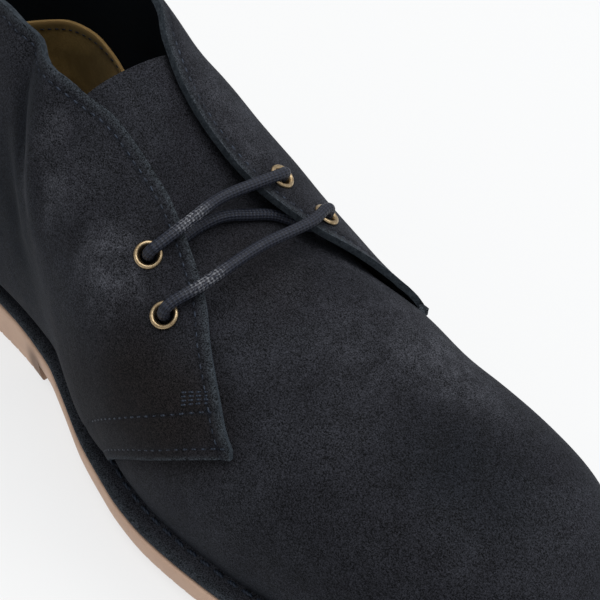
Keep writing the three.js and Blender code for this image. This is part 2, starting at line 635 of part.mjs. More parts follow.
const lacePoints = [
  ...throughEyelet(outerBottom, null, innerBottom.point),
  overFacing(164.2, 20, -1),
  crest(166.4, 7.4),
  overFacing(164.6, 19, 1),
  ...throughEyelet(innerBottom, outerTop.point, outerBottom.point).reverse(),
  overTongue(155, 17, 1),
  overTongue(152, 9, 1),
  crest(149.8, 1.7),
  overTongue(148.2, 9, -1),
  ...throughEyelet(outerTop, innerBottom.point, innerTop.point),
  overFacing(146.6, 12.5, -1),
  crest(149.5, 8.4),
  overFacing(146.6, 12.5, 1),
  ...throughEyelet(innerTop, null, outerTop.point).reverse(),
];
const lacePath = new THREE.CatmullRomCurve3(lacePoints, false, 'centripetal');
const laceShape = new THREE.Shape().absarc(0, 0, LACE_RADIUS, 0, 2 * Math.PI, false);
const lace = new THREE.ExtrudeGeometry(laceShape, {
  steps: 100, extrudePath: lacePath, bevelEnabled: false, curveSegments: 4,
});

const group = new THREE.Group();
const soleBox = fromManifold(outsole);
soleBox.computeBoundingBox();
const middle = soleBox.boundingBox.getCenter(new THREE.Vector3());
function addPiece(name, geometry, color, roughness, metalness = 0) {
  const bare = geometry.index ? geometry.toNonIndexed() : geometry.clone();
  bare.deleteAttribute('normal');
  bare.deleteAttribute('uv');
  const placed = mergeVertices(bare, 1e-4).translate(-middle.x, -middle.y, 0);
  placed.computeVertexNormals();
  const mesh = new THREE.Mesh(placed, new THREE.MeshStandardMaterial({ color, roughness, metalness }));
  mesh.name = name;
  group.add(mesh);
}
addPiece('upper', fromManifold(upper), 0x23262e, 0.95);
addPiece('tongue', fromManifold(tongue), 0x24272f, 0.95);
addPiece('insole', fromManifold(insole), 0x8a6a42, 0.9);
addPiece('outsole', fromManifold(outsole), 0xbba083, 0.8);
for (const eyelet of eyeletPlaces) {
  addPiece(eyelet.name, turned(eyeletProfile, 16).applyMatrix4(standOn(eyelet)), 0x8d7350, 0.4, 1);
}
addPiece('lace', lace, 0x1c2028, 0.6);

export default group;
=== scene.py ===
# %% [markdown]
# # A navy suede chukka boot
# The boot is a right shoe, cut from thick suede and stitched down: the vamp and tongue are one
# piece, two quarters wrap the heel and lace over the tongue, and the lower edge of the leather
# turns outwards and is sewn to a moulded sole. The solids of the model already fix every
# dimension. Here each of them is modelled again finely, in the same place, with its leather,
# thread, cord, brass and rubber.

import math

import bpy
import numpy as np
from mathutils import Matrix, Vector


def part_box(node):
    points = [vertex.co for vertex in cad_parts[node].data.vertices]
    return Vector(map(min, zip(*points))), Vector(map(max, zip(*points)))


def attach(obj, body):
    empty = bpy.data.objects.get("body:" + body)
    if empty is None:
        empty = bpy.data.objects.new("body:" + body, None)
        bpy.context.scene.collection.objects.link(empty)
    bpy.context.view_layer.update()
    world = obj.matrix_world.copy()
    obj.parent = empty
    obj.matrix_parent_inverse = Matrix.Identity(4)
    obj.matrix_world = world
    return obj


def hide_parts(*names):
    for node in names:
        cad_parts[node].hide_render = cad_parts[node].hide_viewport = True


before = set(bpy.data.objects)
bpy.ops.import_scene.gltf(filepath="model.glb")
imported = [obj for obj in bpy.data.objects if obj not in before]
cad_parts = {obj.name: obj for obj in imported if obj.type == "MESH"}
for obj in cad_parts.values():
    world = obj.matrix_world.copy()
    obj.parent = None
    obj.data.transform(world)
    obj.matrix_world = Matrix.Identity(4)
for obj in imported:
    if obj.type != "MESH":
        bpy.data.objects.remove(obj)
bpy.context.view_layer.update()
MM = 0.001

# %% [markdown]
# ## The foot form
# Leather takes its shape from the last it is pulled over, so the last comes first. It could be
# sculpted, but then the sole, the panels and the stitches would each need fitting by eye. A form
# worked out from a few sections gives every piece a place to lie on. Each section has a middle
# line, a half width on either side where it meets the sole, a swell just above, a lean inwards
# with height, and a squareness before it turns over the instep. All lengths here are millimetres,
# with x from the heel, y towards the inner side of the foot and z up.

# %% Tables and smooth curves
def table(names, *rows):
    return {name: np.array([row[i] for row in rows], float) for i, name in enumerate(names.split())}


def curve(rows, start, end):
    """A smooth curve through the rows that never overshoots them and runs on straight."""
    x, y = rows[start], rows[end]
    slope = np.diff(y) / np.diff(x)
    product = slope[:-1] * slope[1:]
    total = np.where(product > 0, slope[:-1] + slope[1:], 1)
    tangent = np.concatenate([slope[:1], np.where(product > 0, 2 * product / total, 0), slope[-1:]])

    def value(at):
        at = np.asarray(at, float)
        i = np.clip(np.searchsorted(x, at, side="right") - 1, 0, len(x) - 2)
        h = x[i + 1] - x[i]
        t = np.clip((at - x[i]) / h, 0, 1)
        inside = (y[i] * (1 + 2 * t) * (1 - t) ** 2 + tangent[i] * h * t * (1 - t) ** 2
                  + y[i + 1] * t * t * (3 - 2 * t) + tangent[i + 1] * h * t * t * (t - 1))
        return inside + np.minimum(at - x[0], 0) * tangent[0] + np.maximum(at - x[-1], 0) * tangent[-1]

    return value


def smooth(low, high, value):
    t = np.clip((value - low) / (high - low), 0, 1)
    return t * t * (3 - 2 * t)


def mix(a, b, t):
    return a + (b - a) * t


def bell(value, width):
    return np.exp(-((value / width) ** 2))


# %% Sections of the last
SECTIONS = table(
    "x axis outer inner swell_outer swell_inner lean_outer lean_inner",
    (0, 0, 25, 27, 6.5, 6.5, -2, -1), (25, 0, 25, 27, 6.5, 6.5, -2.5, -1),
    (50, 0, 25.5, 27.5, 6.5, 6.5, -4.5, -1), (75, 0.5, 27, 27.3, 6, 7, -6.5, -2),
    (100, 1, 30.5, 28.5, 5, 8.3, -2.6, -2.6), (112, 1.2, 34, 31.5, 4.2, 9, -2.8, -2.8),
    (125, 1.5, 38.5, 34, 3.5, 8.4, -3, -3), (137, 1.6, 42.6, 36, 3, 7.3, -3, -3),
    (150, 1.7, 46, 37.6, 2.5, 6, -3, -3), (162, 1.8, 48.6, 38.8, 2.2, 4.9, -2, -2),
    (175, 2, 50, 40.6, 2, 2.8, 0, 0), (185, 2.4, 50.3, 42.2, 2, 1.7, 0, 0),
    (205, 3.2, 49.6, 44, 2, 1, 0, 0), (225, 4.5, 47.5, 43.8, 2, 0.7, 0, 0),
    (250, 6.5, 44, 41.6, 2, 0.8, 0, 0), (275, 9, 41, 40, 2, 1.8, 0, 0), (291, 10.5, 40, 39, 2, 2, 0, 0),
)
PROFILE = table(
    "x sole ridge box_outer box_inner",
    (0, 18.5, 244, 3.4, 3.6), (25, 18.3, 214, 3.4, 3.8), (50, 17.9, 184, 3.4, 4),
    (75, 16.8, 156, 3.5, 4.4), (97, 15.2, 134.5, 3.6, 5), (107, 14.4, 122.4, 3.6, 5),
    (116, 13.7, 114.2, 3.6, 5), (125, 12.9, 106, 3.6, 5), (137, 12, 96.9, 3.6, 5),
    (150, 11.2, 87.8, 3.6, 5), (162, 10.4, 82.2, 3.5, 4.8), (175, 10, 78, 3.4, 4.2),
    (185, 10, 75, 3.2, 3.8), (205, 10, 69.8, 3, 3.2), (225, 10.6, 64, 3, 2.8), (250, 12.6, 58.4, 3, 2.8),
    (275, 15.5, 53.8, 3, 2.9), (300, 18.9, 50, 3, 3),
)
HEEL_BACK = table("z x", (10, 11), (18, 9), (35, 5.5), (50, 5), (70, 7), (90, 10.5), (110, 14), (130, 17))
FLANGE = table("x reach", (0, 6), (60, 6), (100, 6.8), (135, 8), (250, 8), (300, 7.6))
HEEL_POINT = 9
TOE_POINT = 291
TOE_CAP_START = 237
TOE_SQUARENESS = 2.4
HEEL_RADIUS = 42
HEEL_SQUARENESS = 2.1
CROWN_ROUNDNESS = 2.4
SWELL_RISE = 11
FLANGE_OVER_SOLE = 1.9

axis_at = curve(SECTIONS, "x", "axis")
lean_at = {-1: curve(SECTIONS, "x", "lean_outer"), 1: curve(SECTIONS, "x", "lean_inner")}
flat_at = {-1: curve(SECTIONS, "x", "outer"), 1: curve(SECTIONS, "x", "inner")}
swell_at = {-1: curve(SECTIONS, "x", "swell_outer"), 1: curve(SECTIONS, "x", "swell_inner")}
box_at = {-1: curve(PROFILE, "x", "box_outer"), 1: curve(PROFILE, "x", "box_inner")}
sole_at = curve(PROFILE, "x", "sole")
ridge_at = curve(PROFILE, "x", "ridge")
heel_back_at = curve(HEEL_BACK, "z", "x")
reach_at = curve(FLANGE, "x", "reach")


def by_side(pair, x, side):
    return np.where(side < 0, pair[-1](x), pair[1](x))


def seat_at(x):
    return sole_at(x) + FLANGE_OVER_SOLE


def toe_closing(x):
    t = np.clip((x - TOE_CAP_START) / (TOE_POINT - TOE_CAP_START), 0, 1)
    return (1 - t**TOE_SQUARENESS) ** (1 / TOE_SQUARENESS)


def heel_closing(x, z):
    t = np.clip((x - heel_back_at(z)) / HEEL_RADIUS, 0, 1)
    return (1 - (1 - t) ** HEEL_SQUARENESS) ** (1 / HEEL_SQUARENESS)


def crown_at(x):
    return seat_at(x) + (ridge_at(x) - seat_at(x)) * toe_closing(x)


def upright_width(x, z, side):
    rise = np.maximum(z - seat_at(x), 0)
    swell = by_side(swell_at, x, side) * (1 - np.exp(-((rise / SWELL_RISE) ** 1.6)))
    wide = by_side(flat_at, x, side) + swell + by_side(lean_at, x, side) * (rise / 100) ** 2
    return wide * heel_closing(x, z) * toe_closing(x)


def form_point(x, z, side):
    """The place on the last at x and height z, on its outer side (-1) or its inner side (1)."""
    x, z, side = np.broadcast_arrays(np.asarray(x, float), np.asarray(z, float), np.asarray(side, float))
    share = np.clip((z - seat_at(x)) / np.maximum(crown_at(x) - seat_at(x), 1e-6), 0, 1)
    half = upright_width(x, z, side) * (1 - share ** by_side(box_at, x, side)) ** (1 / CROWN_ROUNDNESS)
    return np.stack([x, axis_at(x) + side * half, z], axis=-1)


def top_height(x, width, side):
    """How high the top of the foot is at x, at a distance from its middle line."""
    turn = np.clip(width / np.maximum(upright_width(x, crown_at(x), side), 1e-6), 0, 1)
    share = (1 - turn**CROWN_ROUNDNESS) ** (1 / by_side(box_at, x, side))
    return mix(seat_at(x), crown_at(x), share)


# %% [markdown]
# ## Where the form stands
# The finished model is centred on its sole, so the same sole outline is worked out here and its
# middle gives the move from the last's own x and y to the model's.

# %% Outline of the sole and the move to the model's frame
def outline(steps, reach, height):
    """A loop round the last at the sole, moved outwards by reach, with its height from its x."""
    def place(turn):
        x = HEEL_POINT + (TOE_POINT - HEEL_POINT) * (1 - np.cos(turn)) / 2
        turn = np.mod(turn, 2 * np.pi)
        return form_point(x, seat_at(x), np.where(turn <= np.pi, -1, 1))

    turn = 2 * np.pi * np.arange(steps) / steps
    here = place(turn)
    ahead = place(turn + 0.049) - place(turn - 0.049)
    length = np.hypot(ahead[:, 0], ahead[:, 1])
    out = np.stack([ahead[:, 1] / length, -ahead[:, 0] / length], axis=-1)
    move = reach(here[:, 0]) if callable(reach) else reach
    here[:, :2] += out * np.broadcast_to(move, len(here))[:, None]
    here[:, 2] = height(here[:, 0])
    return here


RIM = 0.8
edge_loop = outline(64, lambda x: reach_at(x) + RIM, sole_at)
MIDDLE = np.array([*((edge_loop.min(0) + edge_loop.max(0))[:2] / 2), 0])
sole_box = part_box("outsole")
print("middle of the last at", MIDDLE.round(2), "; the sole's box is centred on",
      [round((a + b) / 2 / MM, 2) for a, b in zip(*sole_box)][:2])

# %% [markdown]
# ## The camera, the floor and the light
# A long lens looks down on the front of the boot from its outer side, close enough that the heel
# and the toe run out of the picture. The floor is plain and almost white. A bright sky of even
# light keeps the shadows soft. One wide lamp high above, a little to the inner side, gives the
# leather a lighter top and a darker flank, as in a product studio, and a small weak one ahead of
# the toe on the inner side adds to it.

# %% Camera
LENS_PX = 1405.6
AZIMUTH = math.radians(46.77)
ELEVATION = math.radians(42.73)
ROLL = math.radians(0.23)
DISTANCE = 437.45
TARGET = np.array([169.23, 15.96, 60]) - MIDDLE

back = np.array([math.sin(AZIMUTH) * math.cos(ELEVATION), -math.cos(AZIMUTH) * math.cos(ELEVATION),
                 math.sin(ELEVATION)])
right = np.array([math.cos(AZIMUTH), math.sin(AZIMUTH), 0])
up = np.cross(back, right)
right, up = (right * math.cos(ROLL) + up * math.sin(ROLL), up * math.cos(ROLL) - right * math.sin(ROLL))
eye = (TARGET + back * DISTANCE) * MM

bpy.ops.object.select_all(action="DESELECT")
bpy.ops.object.camera_add()
camera = bpy.context.object
camera.name = "camera"
camera.matrix_world = Matrix([[*row, place] for row, place in zip(np.stack([right, up, back], 1), eye)]
                             + [[0, 0, 0, 1]])
camera.data.sensor_width = 36
camera.data.lens = LENS_PX * 36 / 600
camera.data.clip_start = 0.01
bpy.context.scene.camera = camera
print("camera at", (eye / MM).round(1), "mm, lens", round(camera.data.lens, 1), "mm")

# %% Floor and light
def lamp(name, place, aim, size, power, colour):
    bpy.ops.object.light_add(type="AREA", location=place)
    light = bpy.context.object
    light.name = name
    light.data.shape = "DISK"
    light.data.size = size
    light.data.energy = power
    light.data.color = colour
    light.rotation_euler = (Vector(aim) - Vector(place)).to_track_quat("-Z", "Y").to_euler()
    return light


bpy.ops.mesh.primitive_plane_add(size=8, location=(0, 0, 0))
floor = bpy.context.object
floor.name = "floor"
lamp("top_lamp", (0.15, 0.35, 1.9), (0, 0, 0.05), 2.4, 36, (1, 0.99, 0.97))
lamp("side_lamp", (1.2, 0.9, 1.3), (0.05, 0, 0.05), 0.7, 5, (0.95, 0.975, 1))

sky = bpy.data.worlds.new("studio")
bpy.context.scene.world = sky
sky.use_nodes = True
sky.node_tree.nodes["Background"].inputs["Color"].default_value = (0.97, 0.985, 1, 1)
sky.node_tree.nodes["Background"].inputs["Strength"].default_value = 0.5
bpy.context.scene.view_settings.view_transform = "Standard"
print("two lamps and an even sky over the floor")

# %% [markdown]
# ## Writing finishes
# A finish is a small network of shader nodes. Written node by node it is hard to read, so one
# class stands for a socket and turns ordinary sums into Math nodes, and one method adds any other
# node. Every finish varies only its colour, its roughness and its bump.

# %% Shader helpers
class Value:
    """One output socket of a finish, usable in sums."""

    def __init__(self, finish, socket):
        self.finish = finish
        self.socket = socket

    def math(self, operation, *others, reverse=False):
        values = [*others, self] if reverse else [self, *others]
        return self.finish.node("ShaderNodeMath", {"operation": operation}, dict(enumerate(values)))

    def __add__(self, other):
        return self.math("ADD", other)

    def __sub__(self, other):
        return self.math("SUBTRACT", other)

    def __rsub__(self, other):
        return self.math("SUBTRACT", other, reverse=True)

    def __mul__(self, other):
        return self.math("MULTIPLY", other)

    def __truediv__(self, other):
        return self.math("DIVIDE", other)

    def __pow__(self, other):
        return self.math("POWER", other)

    __radd__ = __add__
    __rmul__ = __mul__

    def clamp(self, low=0.0, high=1.0):
        return self.math("MAXIMUM", low).math("MINIMUM", high)

    def ramp(self, low, high):
        """0 below low, 1 above high, and smooth between them."""
        return self.finish.node("ShaderNodeMapRange", {"interpolation_type": "SMOOTHSTEP"},
                                {"Value": self, "From Min": low, "From Max": high})


class Finish:
    """A material with one surface shader."""

    def __init__(self, name, **constants):
        self.material = bpy.data.materials.new(name)
        self.material.use_nodes = True
        self.tree = self.material.node_tree
        self.shader = self.tree.nodes["Principled BSDF"]
        for socket, value in constants.items():
            self.shader.inputs[socket.replace("_", " ")].default_value = value

    def node(self, kind, settings=None, inputs=None, output=0):
        node = self.tree.nodes.new(kind)
        for key, value in (settings or {}).items():
            if key == "stops":
                while len(node.color_ramp.elements) < len(value):
                    node.color_ramp.elements.new(0.5)
                for element, (place, colour) in zip(node.color_ramp.elements, value):
                    element.position = place
                    element.color = (*colour, 1)
            else:
                setattr(node, key, value)
        for key, value in (inputs or {}).items():
            if isinstance(value, Value):
                self.tree.links.new(value.socket, node.inputs[key])
            elif isinstance(value, tuple) and len(value) == 3 and len(node.inputs[key].default_value) == 4:
                node.inputs[key].default_value = (*value, 1)
            else:
                node.inputs[key].default_value = value
        return Value(self, node.outputs[output])

    def place(self):
        return self.node("ShaderNodeTexCoord", output="Object")

    def noise(self, vector, size, detail=3.0, roughness=0.55, distortion=0.0):
        """Soft random patches; size is their width in millimetres."""
        return self.node("ShaderNodeTexNoise", None,
                         {"Vector": vector, "Scale": 1 / (size * MM), "Detail": detail,
                          "Roughness": roughness, "Distortion": distortion})

    def blend(self, mask, first, second, kind="MIX"):
        names = {"data_type": "RGBA", "blend_type": kind, "clamp_factor": True}
        return self.node("ShaderNodeMix", names, {0: mask, 6: first, 7: second}, 2)

    def spot(self, vector, centre, size, soft=0.5):
        """1 inside an egg-shaped zone round centre (model millimetres), fading out to 0."""
        turned = self.node("ShaderNodeMapping", {"vector_type": "TEXTURE"},
                           {"Vector": vector, "Location": tuple(float(v) * MM for v in centre),
                            "Scale": tuple(float(v) * MM for v in size)})
        length = self.node("ShaderNodeVectorMath", {"operation": "LENGTH"}, {0: turned}, "Value")
        return 1 - length.ramp(1 - soft, 1 + soft)

    def bump(self, height, distance, strength=1.0, normal=None):
        inputs = {"Height": height, "Distance": distance * MM, "Strength": strength}
        if normal is not None:
            inputs["Normal"] = normal
        return self.node("ShaderNodeBump", None, inputs)

    def set(self, **sockets):
        for name, value in sockets.items():
            self.tree.links.new(value.socket, self.shader.inputs[name.replace("_", " ")])


def paint(piece, *finishes):
    piece.data.materials.clear()
    for finish in finishes:
        piece.data.materials.append(finish.material)


# %% [markdown]
# ## The floor's finish
# The floor is a pale table lit from beneath as well as from above, so that the boot's shadow stays
# faint. A touch of unevenness keeps it from looking like paper.

# %% Floor
floor_finish = Finish("floor", Roughness=0.9, Emission_Strength=0.69)
where = floor_finish.place()
paper = floor_finish.noise(where, 400)
floor_finish.set(Base_Color=floor_finish.blend(paper, (0.195, 0.20, 0.205), (0.205, 0.208, 0.21)),
                 Emission_Color=floor_finish.blend(paper, (0.99, 0.995, 1.0), (1.0, 1.0, 1.0)))
paint(floor, floor_finish)

# %% [markdown]
# ## Suede
# Suede is leather with its fibres raised. The nap lies this way and that, so the same dye looks
# lighter and bluer where it stands up. It has no gloss, but its fibre tips catch light at a shallow
# angle. The finish therefore mixes three dyes by broad cloudy patches, adds lighter rubbed zones
# where a hand or the ankle has brushed the nap, which on the inner side are painted light as well,
# and speckles the whole with fine fibre. Painted shade darkens it in zones: brownish on the near
# flank and on the tongue under the lace, darker navy beside the fold under the collar, at the back
# of the heel and on the toe, and deepest low on the sides near the sole. The cut edge shows the
# leather's paler, furry core.

# %% Suede finishes
def to_model(x, y, z):
    return (x - MIDDLE[0], y - MIDDLE[1], z)


# lighter rubbed nap; the zones on the inner side (y > 0) are painted light as well
RUBBED_AND_PAINTED_LIGHT = (
    # centre on the boot (x, y, z), half sizes, strength
    ((143, -34, 87), (11, 10, 13), 1.0),
    ((120, -29, 102), (7, 9, 11), 0.4),
    ((108, -27, 110), (3.5, 7, 10), 0.7),
    ((114, -33, 96), (3.5, 7, 10), 0.6),
    ((98, -34, 94), (3.5, 8, 14), 0.35),
    ((128, 26, 104), (30, 9, 26), 0.45),
    ((170, 36, 72), (22, 9, 14), 0.5),
    ((220, 28, 63), (20, 12, 10), 0.8),
    ((205, 10, 70), (16, 14, 10), 0.3),
)
# painted shade, brownish: the near flank turned away from the lamps, and the tongue under the lower lace bar
BROWN_PAINTED_SHADE = (
    ((178, -44, 62), (20, 12, 16), 0.9),
    ((150, -50, 46), (28, 14, 18), 0.8),
    ((156, -42, 74), (12, 10, 12), 0.4),
    ((168, 2, 82), (16, 14, 14), 0.35),
)
# painted shade, darker navy: beside the fold under the collar, at the back of the heel, and on the toe
SHADED = (
    ((95, -27, 117), (5.5, 8, 15), 0.8),
    ((90, -38, 78), (14, 14, 34), 1.0),
    ((258, 2, 57), (18, 16, 10), 0.5),
    ((240, 0, 62), (12, 16, 10), 0.3),
)


GRAIN_DARK = 1.80
GRAIN_GAIN = 1.45
SUEDE_BUMP = 0.16


def suede(name, lift):
    """Navy suede; lift is how much lighter than plain it is."""
    finish = Finish(name, Sheen_Weight=0.03, Sheen_Roughness=0.55, Sheen_Tint=(0.62, 0.72, 0.9, 1),
                    Specular_IOR_Level=0.08)
    where = finish.place()
    cloud = finish.noise(where, 34, 4, 0.6, 0.6).ramp(0.38, 0.66)
    mottle = finish.noise(where, 7, 4, 0.62, 0.3).ramp(0.3, 0.75)
    fibre = finish.noise(where, 0.42, 2, 0.7)
    fleck = finish.noise(where, 1.0, 3, 0.75, 1.2)

    def zones(places, softness):
        total = 0.0
        for centre, size, strength in places:
            total = finish.spot(where, to_model(*centre), size, softness) * strength + total
        return total

    rubbed_and_lit_nap = (zones(RUBBED_AND_PAINTED_LIGHT, 0.8) * (0.35 + mottle * 0.9)).clamp()
    brown_shade, shaded = zones(BROWN_PAINTED_SHADE, 0.7), zones(SHADED, 0.7)
    worn = finish.node("ShaderNodeAttribute", {"attribute_name": "worn"}, output="Fac")
    sewn = finish.node("ShaderNodeAttribute", {"attribute_name": "sewn"}, output="Fac")
    base = finish.blend(cloud, tuple(v * lift for v in (0.0145, 0.0150, 0.0190)),
                        tuple(v * lift for v in (0.0200, 0.0210, 0.0260)))
    # painted shade, brownish, on the near flank and on the tongue under the lace
    base = finish.blend(brown_shade.clamp(), base, (0.0125, 0.0105, 0.0105))
    # painted shade in darker navy
    base = finish.blend(shaded.clamp(), base, (0.0070, 0.0085, 0.0115))
    # lighter rubbed nap, and painted light on the inner side
    base = finish.blend(rubbed_and_lit_nap, base, (0.0520, 0.0540, 0.0640))
    base = finish.blend((worn * (0.35 + fleck)).clamp(), base, (0.0400, 0.0480, 0.0570))
    # darker along the stitch rows, and painted shade low on the sides near the sole
    base = finish.blend((sewn * 0.55).clamp(), base, (0.0030, 0.0045, 0.0080))
    grain = ((fibre * 3.2 + fleck * 1.2 + mottle * 0.2) - GRAIN_DARK).clamp(0.05, 3) * GRAIN_GAIN
    tone = finish.node("ShaderNodeCombineColor", None, {0: grain, 1: grain, 2: grain})
    colour = finish.blend(1.0, base, tone, "MULTIPLY")
    height = fibre * 0.5 + fleck * 0.7 + mottle * 0.6
    finish.set(Base_Color=colour, Roughness=(0.8 + mottle * 0.15),
               Normal=finish.bump(height, SUEDE_BUMP, 0.85))
    return finish


suede_finish = suede("navy_suede", 1.08)
tongue_finish = suede("navy_suede_tongue", 1.15)
# a lighter copy for the ledge: painted light against the shade it lies in below the upper
ledge_painted_light_finish = suede("navy_suede_ledge_painted_light", 1.6)

edge_finish = Finish("cut_suede_edge", Sheen_Weight=0.08, Sheen_Roughness=0.5, Sheen_Tint=(0.6, 0.75, 0.95, 1),
                     Specular_IOR_Level=0.1)
where = edge_finish.place()
core = edge_finish.noise(where, 1.1, 4, 0.7, 0.8)
edge_finish.set(Base_Color=edge_finish.blend(core.ramp(0.32, 0.72), (0.010, 0.013, 0.017), (0.034, 0.042, 0.050)),
                Roughness=0.85 + core * 0.1, Normal=edge_finish.bump(core, 0.35, 0.9))

# the flesh side, made very dark: painted shade inside the boot
flesh_and_shade_finish = Finish("leather_flesh_side_and_shade", Roughness=0.95, Specular_IOR_Level=0.06)
where = flesh_and_shade_finish.place()
nap = flesh_and_shade_finish.noise(where, 0.8, 3, 0.7)
flesh_and_shade_finish.set(Base_Color=flesh_and_shade_finish.blend(nap, (0.0040, 0.0060, 0.0085), (0.0090, 0.0125, 0.0165)),
                 Normal=flesh_and_shade_finish.bump(nap, 0.12, 0.7))
print("suede and cut edge mixed from", len(RUBBED_AND_PAINTED_LIGHT), "rubbed,", len(BROWN_PAINTED_SHADE), "pressed and",
      len(SHADED), "dark zones")

# %% [markdown]
# ## Sheets of leather
# A panel of the upper is one sheet laid over the last. A flat grid is added and every one of its
# corners is moved to its place on the form. The sheet then moves out along its own slope by as
# much as lies beneath it, gets its soft creases and sewn troughs the same way, and becomes real
# leather with a Solidify modifier. A small bevel rounds the cut edges, which also get a finish
# of their own.

# %% Grids, creases and thickness
LEATHER = 2.2


def activate(piece):
    bpy.ops.object.select_all(action="DESELECT")
    piece.select_set(True)
    bpy.context.view_layer.objects.active = piece


def apply_modifier(piece, kind, **settings):
    activate(piece)
    bpy.ops.object.modifier_add(type=kind)
    modifier = piece.modifiers[-1]
    for key, value in settings.items():
        setattr(modifier, key, value)
    bpy.ops.object.modifier_apply(modifier=modifier.name)


def grid_piece(name, places):
    """A grid whose corners are moved to places, an array of rows by columns of points."""
    rows, columns = places.shape[:2]
    bpy.ops.object.select_all(action="DESELECT")
    bpy.ops.mesh.primitive_grid_add(x_subdivisions=columns - 1, y_subdivisions=rows - 1, size=1)
    piece = bpy.context.object
    piece.name = name
    piece.data.name = name
    piece.data.vertices.foreach_set("co", ((places - MIDDLE) * MM).ravel())
    piece.data.update()
    return piece


def merge(piece, distance=0.002):
    activate(piece)
    bpy.ops.object.mode_set(mode="EDIT")
    bpy.ops.mesh.select_all(action="SELECT")
    bpy.ops.mesh.remove_doubles(threshold=distance * MM)
    bpy.ops.object.mode_set(mode="OBJECT")


def points_of(piece):
    points = np.empty(len(piece.data.vertices) * 3)
    piece.data.vertices.foreach_get("co", points)
    return points.reshape(-1, 3) / MM + MIDDLE


def slopes_of(piece):
    slopes = np.empty(len(piece.data.vertices) * 3)
    piece.data.vertex_normals.foreach_get("vector", slopes)
    return slopes.reshape(-1, 3)


def set_points(piece, points):
    piece.data.vertices.foreach_set("co", ((points - MIDDLE) * MM).ravel())
    piece.data.update()


def nearest(points, line):
    """Distance from each point to a line of points, and how far along the line it is nearest."""
    best = np.full(len(points), 1e9)
    along = np.zeros(len(points))
    run = 0.0
    for a, b in zip(line[:-1], line[1:]):
        step = b - a
        length = np.linalg.norm(step)
        t = np.clip((points - a) @ step / max(length**2, 1e-9), 0, 1)
        away = np.linalg.norm(points - a - t[:, None] * step, axis=1)
        closer = away < best
        best[closer] = away[closer]
        along[closer] = run + t[closer] * length
        run += length
    return best, along


def mark(piece, name, values):
    """Write a number on every point of a piece, for its finish to read."""
    piece.data.attributes.new(name, "FLOAT", "POINT").data.foreach_set("value", np.asarray(values, float))


def finish_sheet(piece, thickness, bevel=0.45, finishes=(suede_finish, flesh_and_shade_finish, edge_finish)):
    """Thicken a sheet outwards: its finishes are for the outer face, the hidden one and the rim."""
    paint(piece, *finishes)
    apply_modifier(piece, "SOLIDIFY", thickness=thickness * MM, offset=1, material_offset=1,
                   material_offset_rim=2)
    apply_modifier(piece, "BEVEL", width=bevel * MM, segments=3, limit_method="ANGLE",
                   angle_limit=math.radians(50))
    activate(piece)
    bpy.ops.object.shade_smooth()


def report(piece):
    piece.data.calc_loop_triangles()
    print(f"{piece.name}: {len(piece.data.loop_triangles)} triangles")


def ready(piece, slot, *nodes):
    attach(piece, "root")
    if nodes:
        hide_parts(*nodes)
    report(piece)


# %% [markdown]
# ## Creases
# Worn or simply handled, suede folds where the ankle opens: a sharp fold under the corner of the
# collar and a few slack furrows down the side of the heel. Each is placed as a line on the
# last, with its width and depth in millimetres. A positive depth presses the leather in, and a
# negative one raises it.

# %% Crease lines
CREASES = (
    # side, width, depth, then x and z of points along the line
    (-1, 4.2, 3.6, ((90, 142), (91, 130), (92.5, 118), (94.5, 106), (96, 96), (98, 84))),
    (-1, 4.2, -2.2, ((100, 138), (101, 126), (102, 115), (103.5, 104), (105, 92), (107, 80))),
    (-1, 6.0, 1.6, ((87, 130), (87, 112), (88, 96), (90, 80), (94, 62))),
    (-1, 4.0, -0.9, ((91, 112), (92.5, 98), (95, 84), (98, 72))),
    (-1, 6.0, -0.8, ((74, 110), (72, 88), (74, 68))),
    (-1, 8.0, 0.9, ((60, 100), (58, 80), (62, 60))),
    (1, 6.0, 1.0, ((92, 112), (90, 96), (88, 80))),
    (1, 8.0, 0.9, ((70, 100), (68, 80), (70, 62))),
    (1, 7.0, -0.7, ((80, 106), (78, 90), (78, 72))),
    (-1, 9.0, 0.5, ((205, 62), (212, 48), (216, 34))),
    (1, 9.0, 0.5, ((208, 62), (216, 48), (222, 34))),
    (-1, 10.0, 0.45, ((150, 66), (134, 58), (118, 52))),
)


def crease_depth(points, side):
    depth = np.zeros(len(points))
    for crease_side, width, deep, line in CREASES:
        line = np.array([form_point(x, z, crease_side) for x, z in line])
        away, along = nearest(points, line)
        total = np.linalg.norm(np.diff(line, axis=0), axis=1).sum()
        fade = smooth(0, 0.3 * total, along) * smooth(0, 0.3 * total, total - along)
        depth += np.where(side * crease_side > 0, deep * bell(away, width) * (0.35 + 0.65 * fade), 0)
    return depth


def waves(points, size, seed):
    """A gentle unevenness, between -1 and 1, made of a few crossing waves."""
    chance = np.random.default_rng(seed)
    total = np.zeros(len(points))
    for _ in range(7):
        way = chance.normal(size=3)
        way /= np.linalg.norm(way)
        total += np.sin(points @ way * 2 * np.pi / (size * chance.uniform(0.7, 1.5)) + chance.uniform(0, 6.3))
    return total / 7


# %% [markdown]
# ## Patterns of the panels
# The quarter runs from the facing, along the collar, round the heel to the other facing, and its
# lower edge crosses the vamp to a blunt corner. The vamp runs from the throat over the toe, and
# the tongue carries on from it. Each pattern is a four-sided patch seen from the side, spread
# between its edges, and the grid's lines crowd together near the edges, where the stitching
# presses the leather.

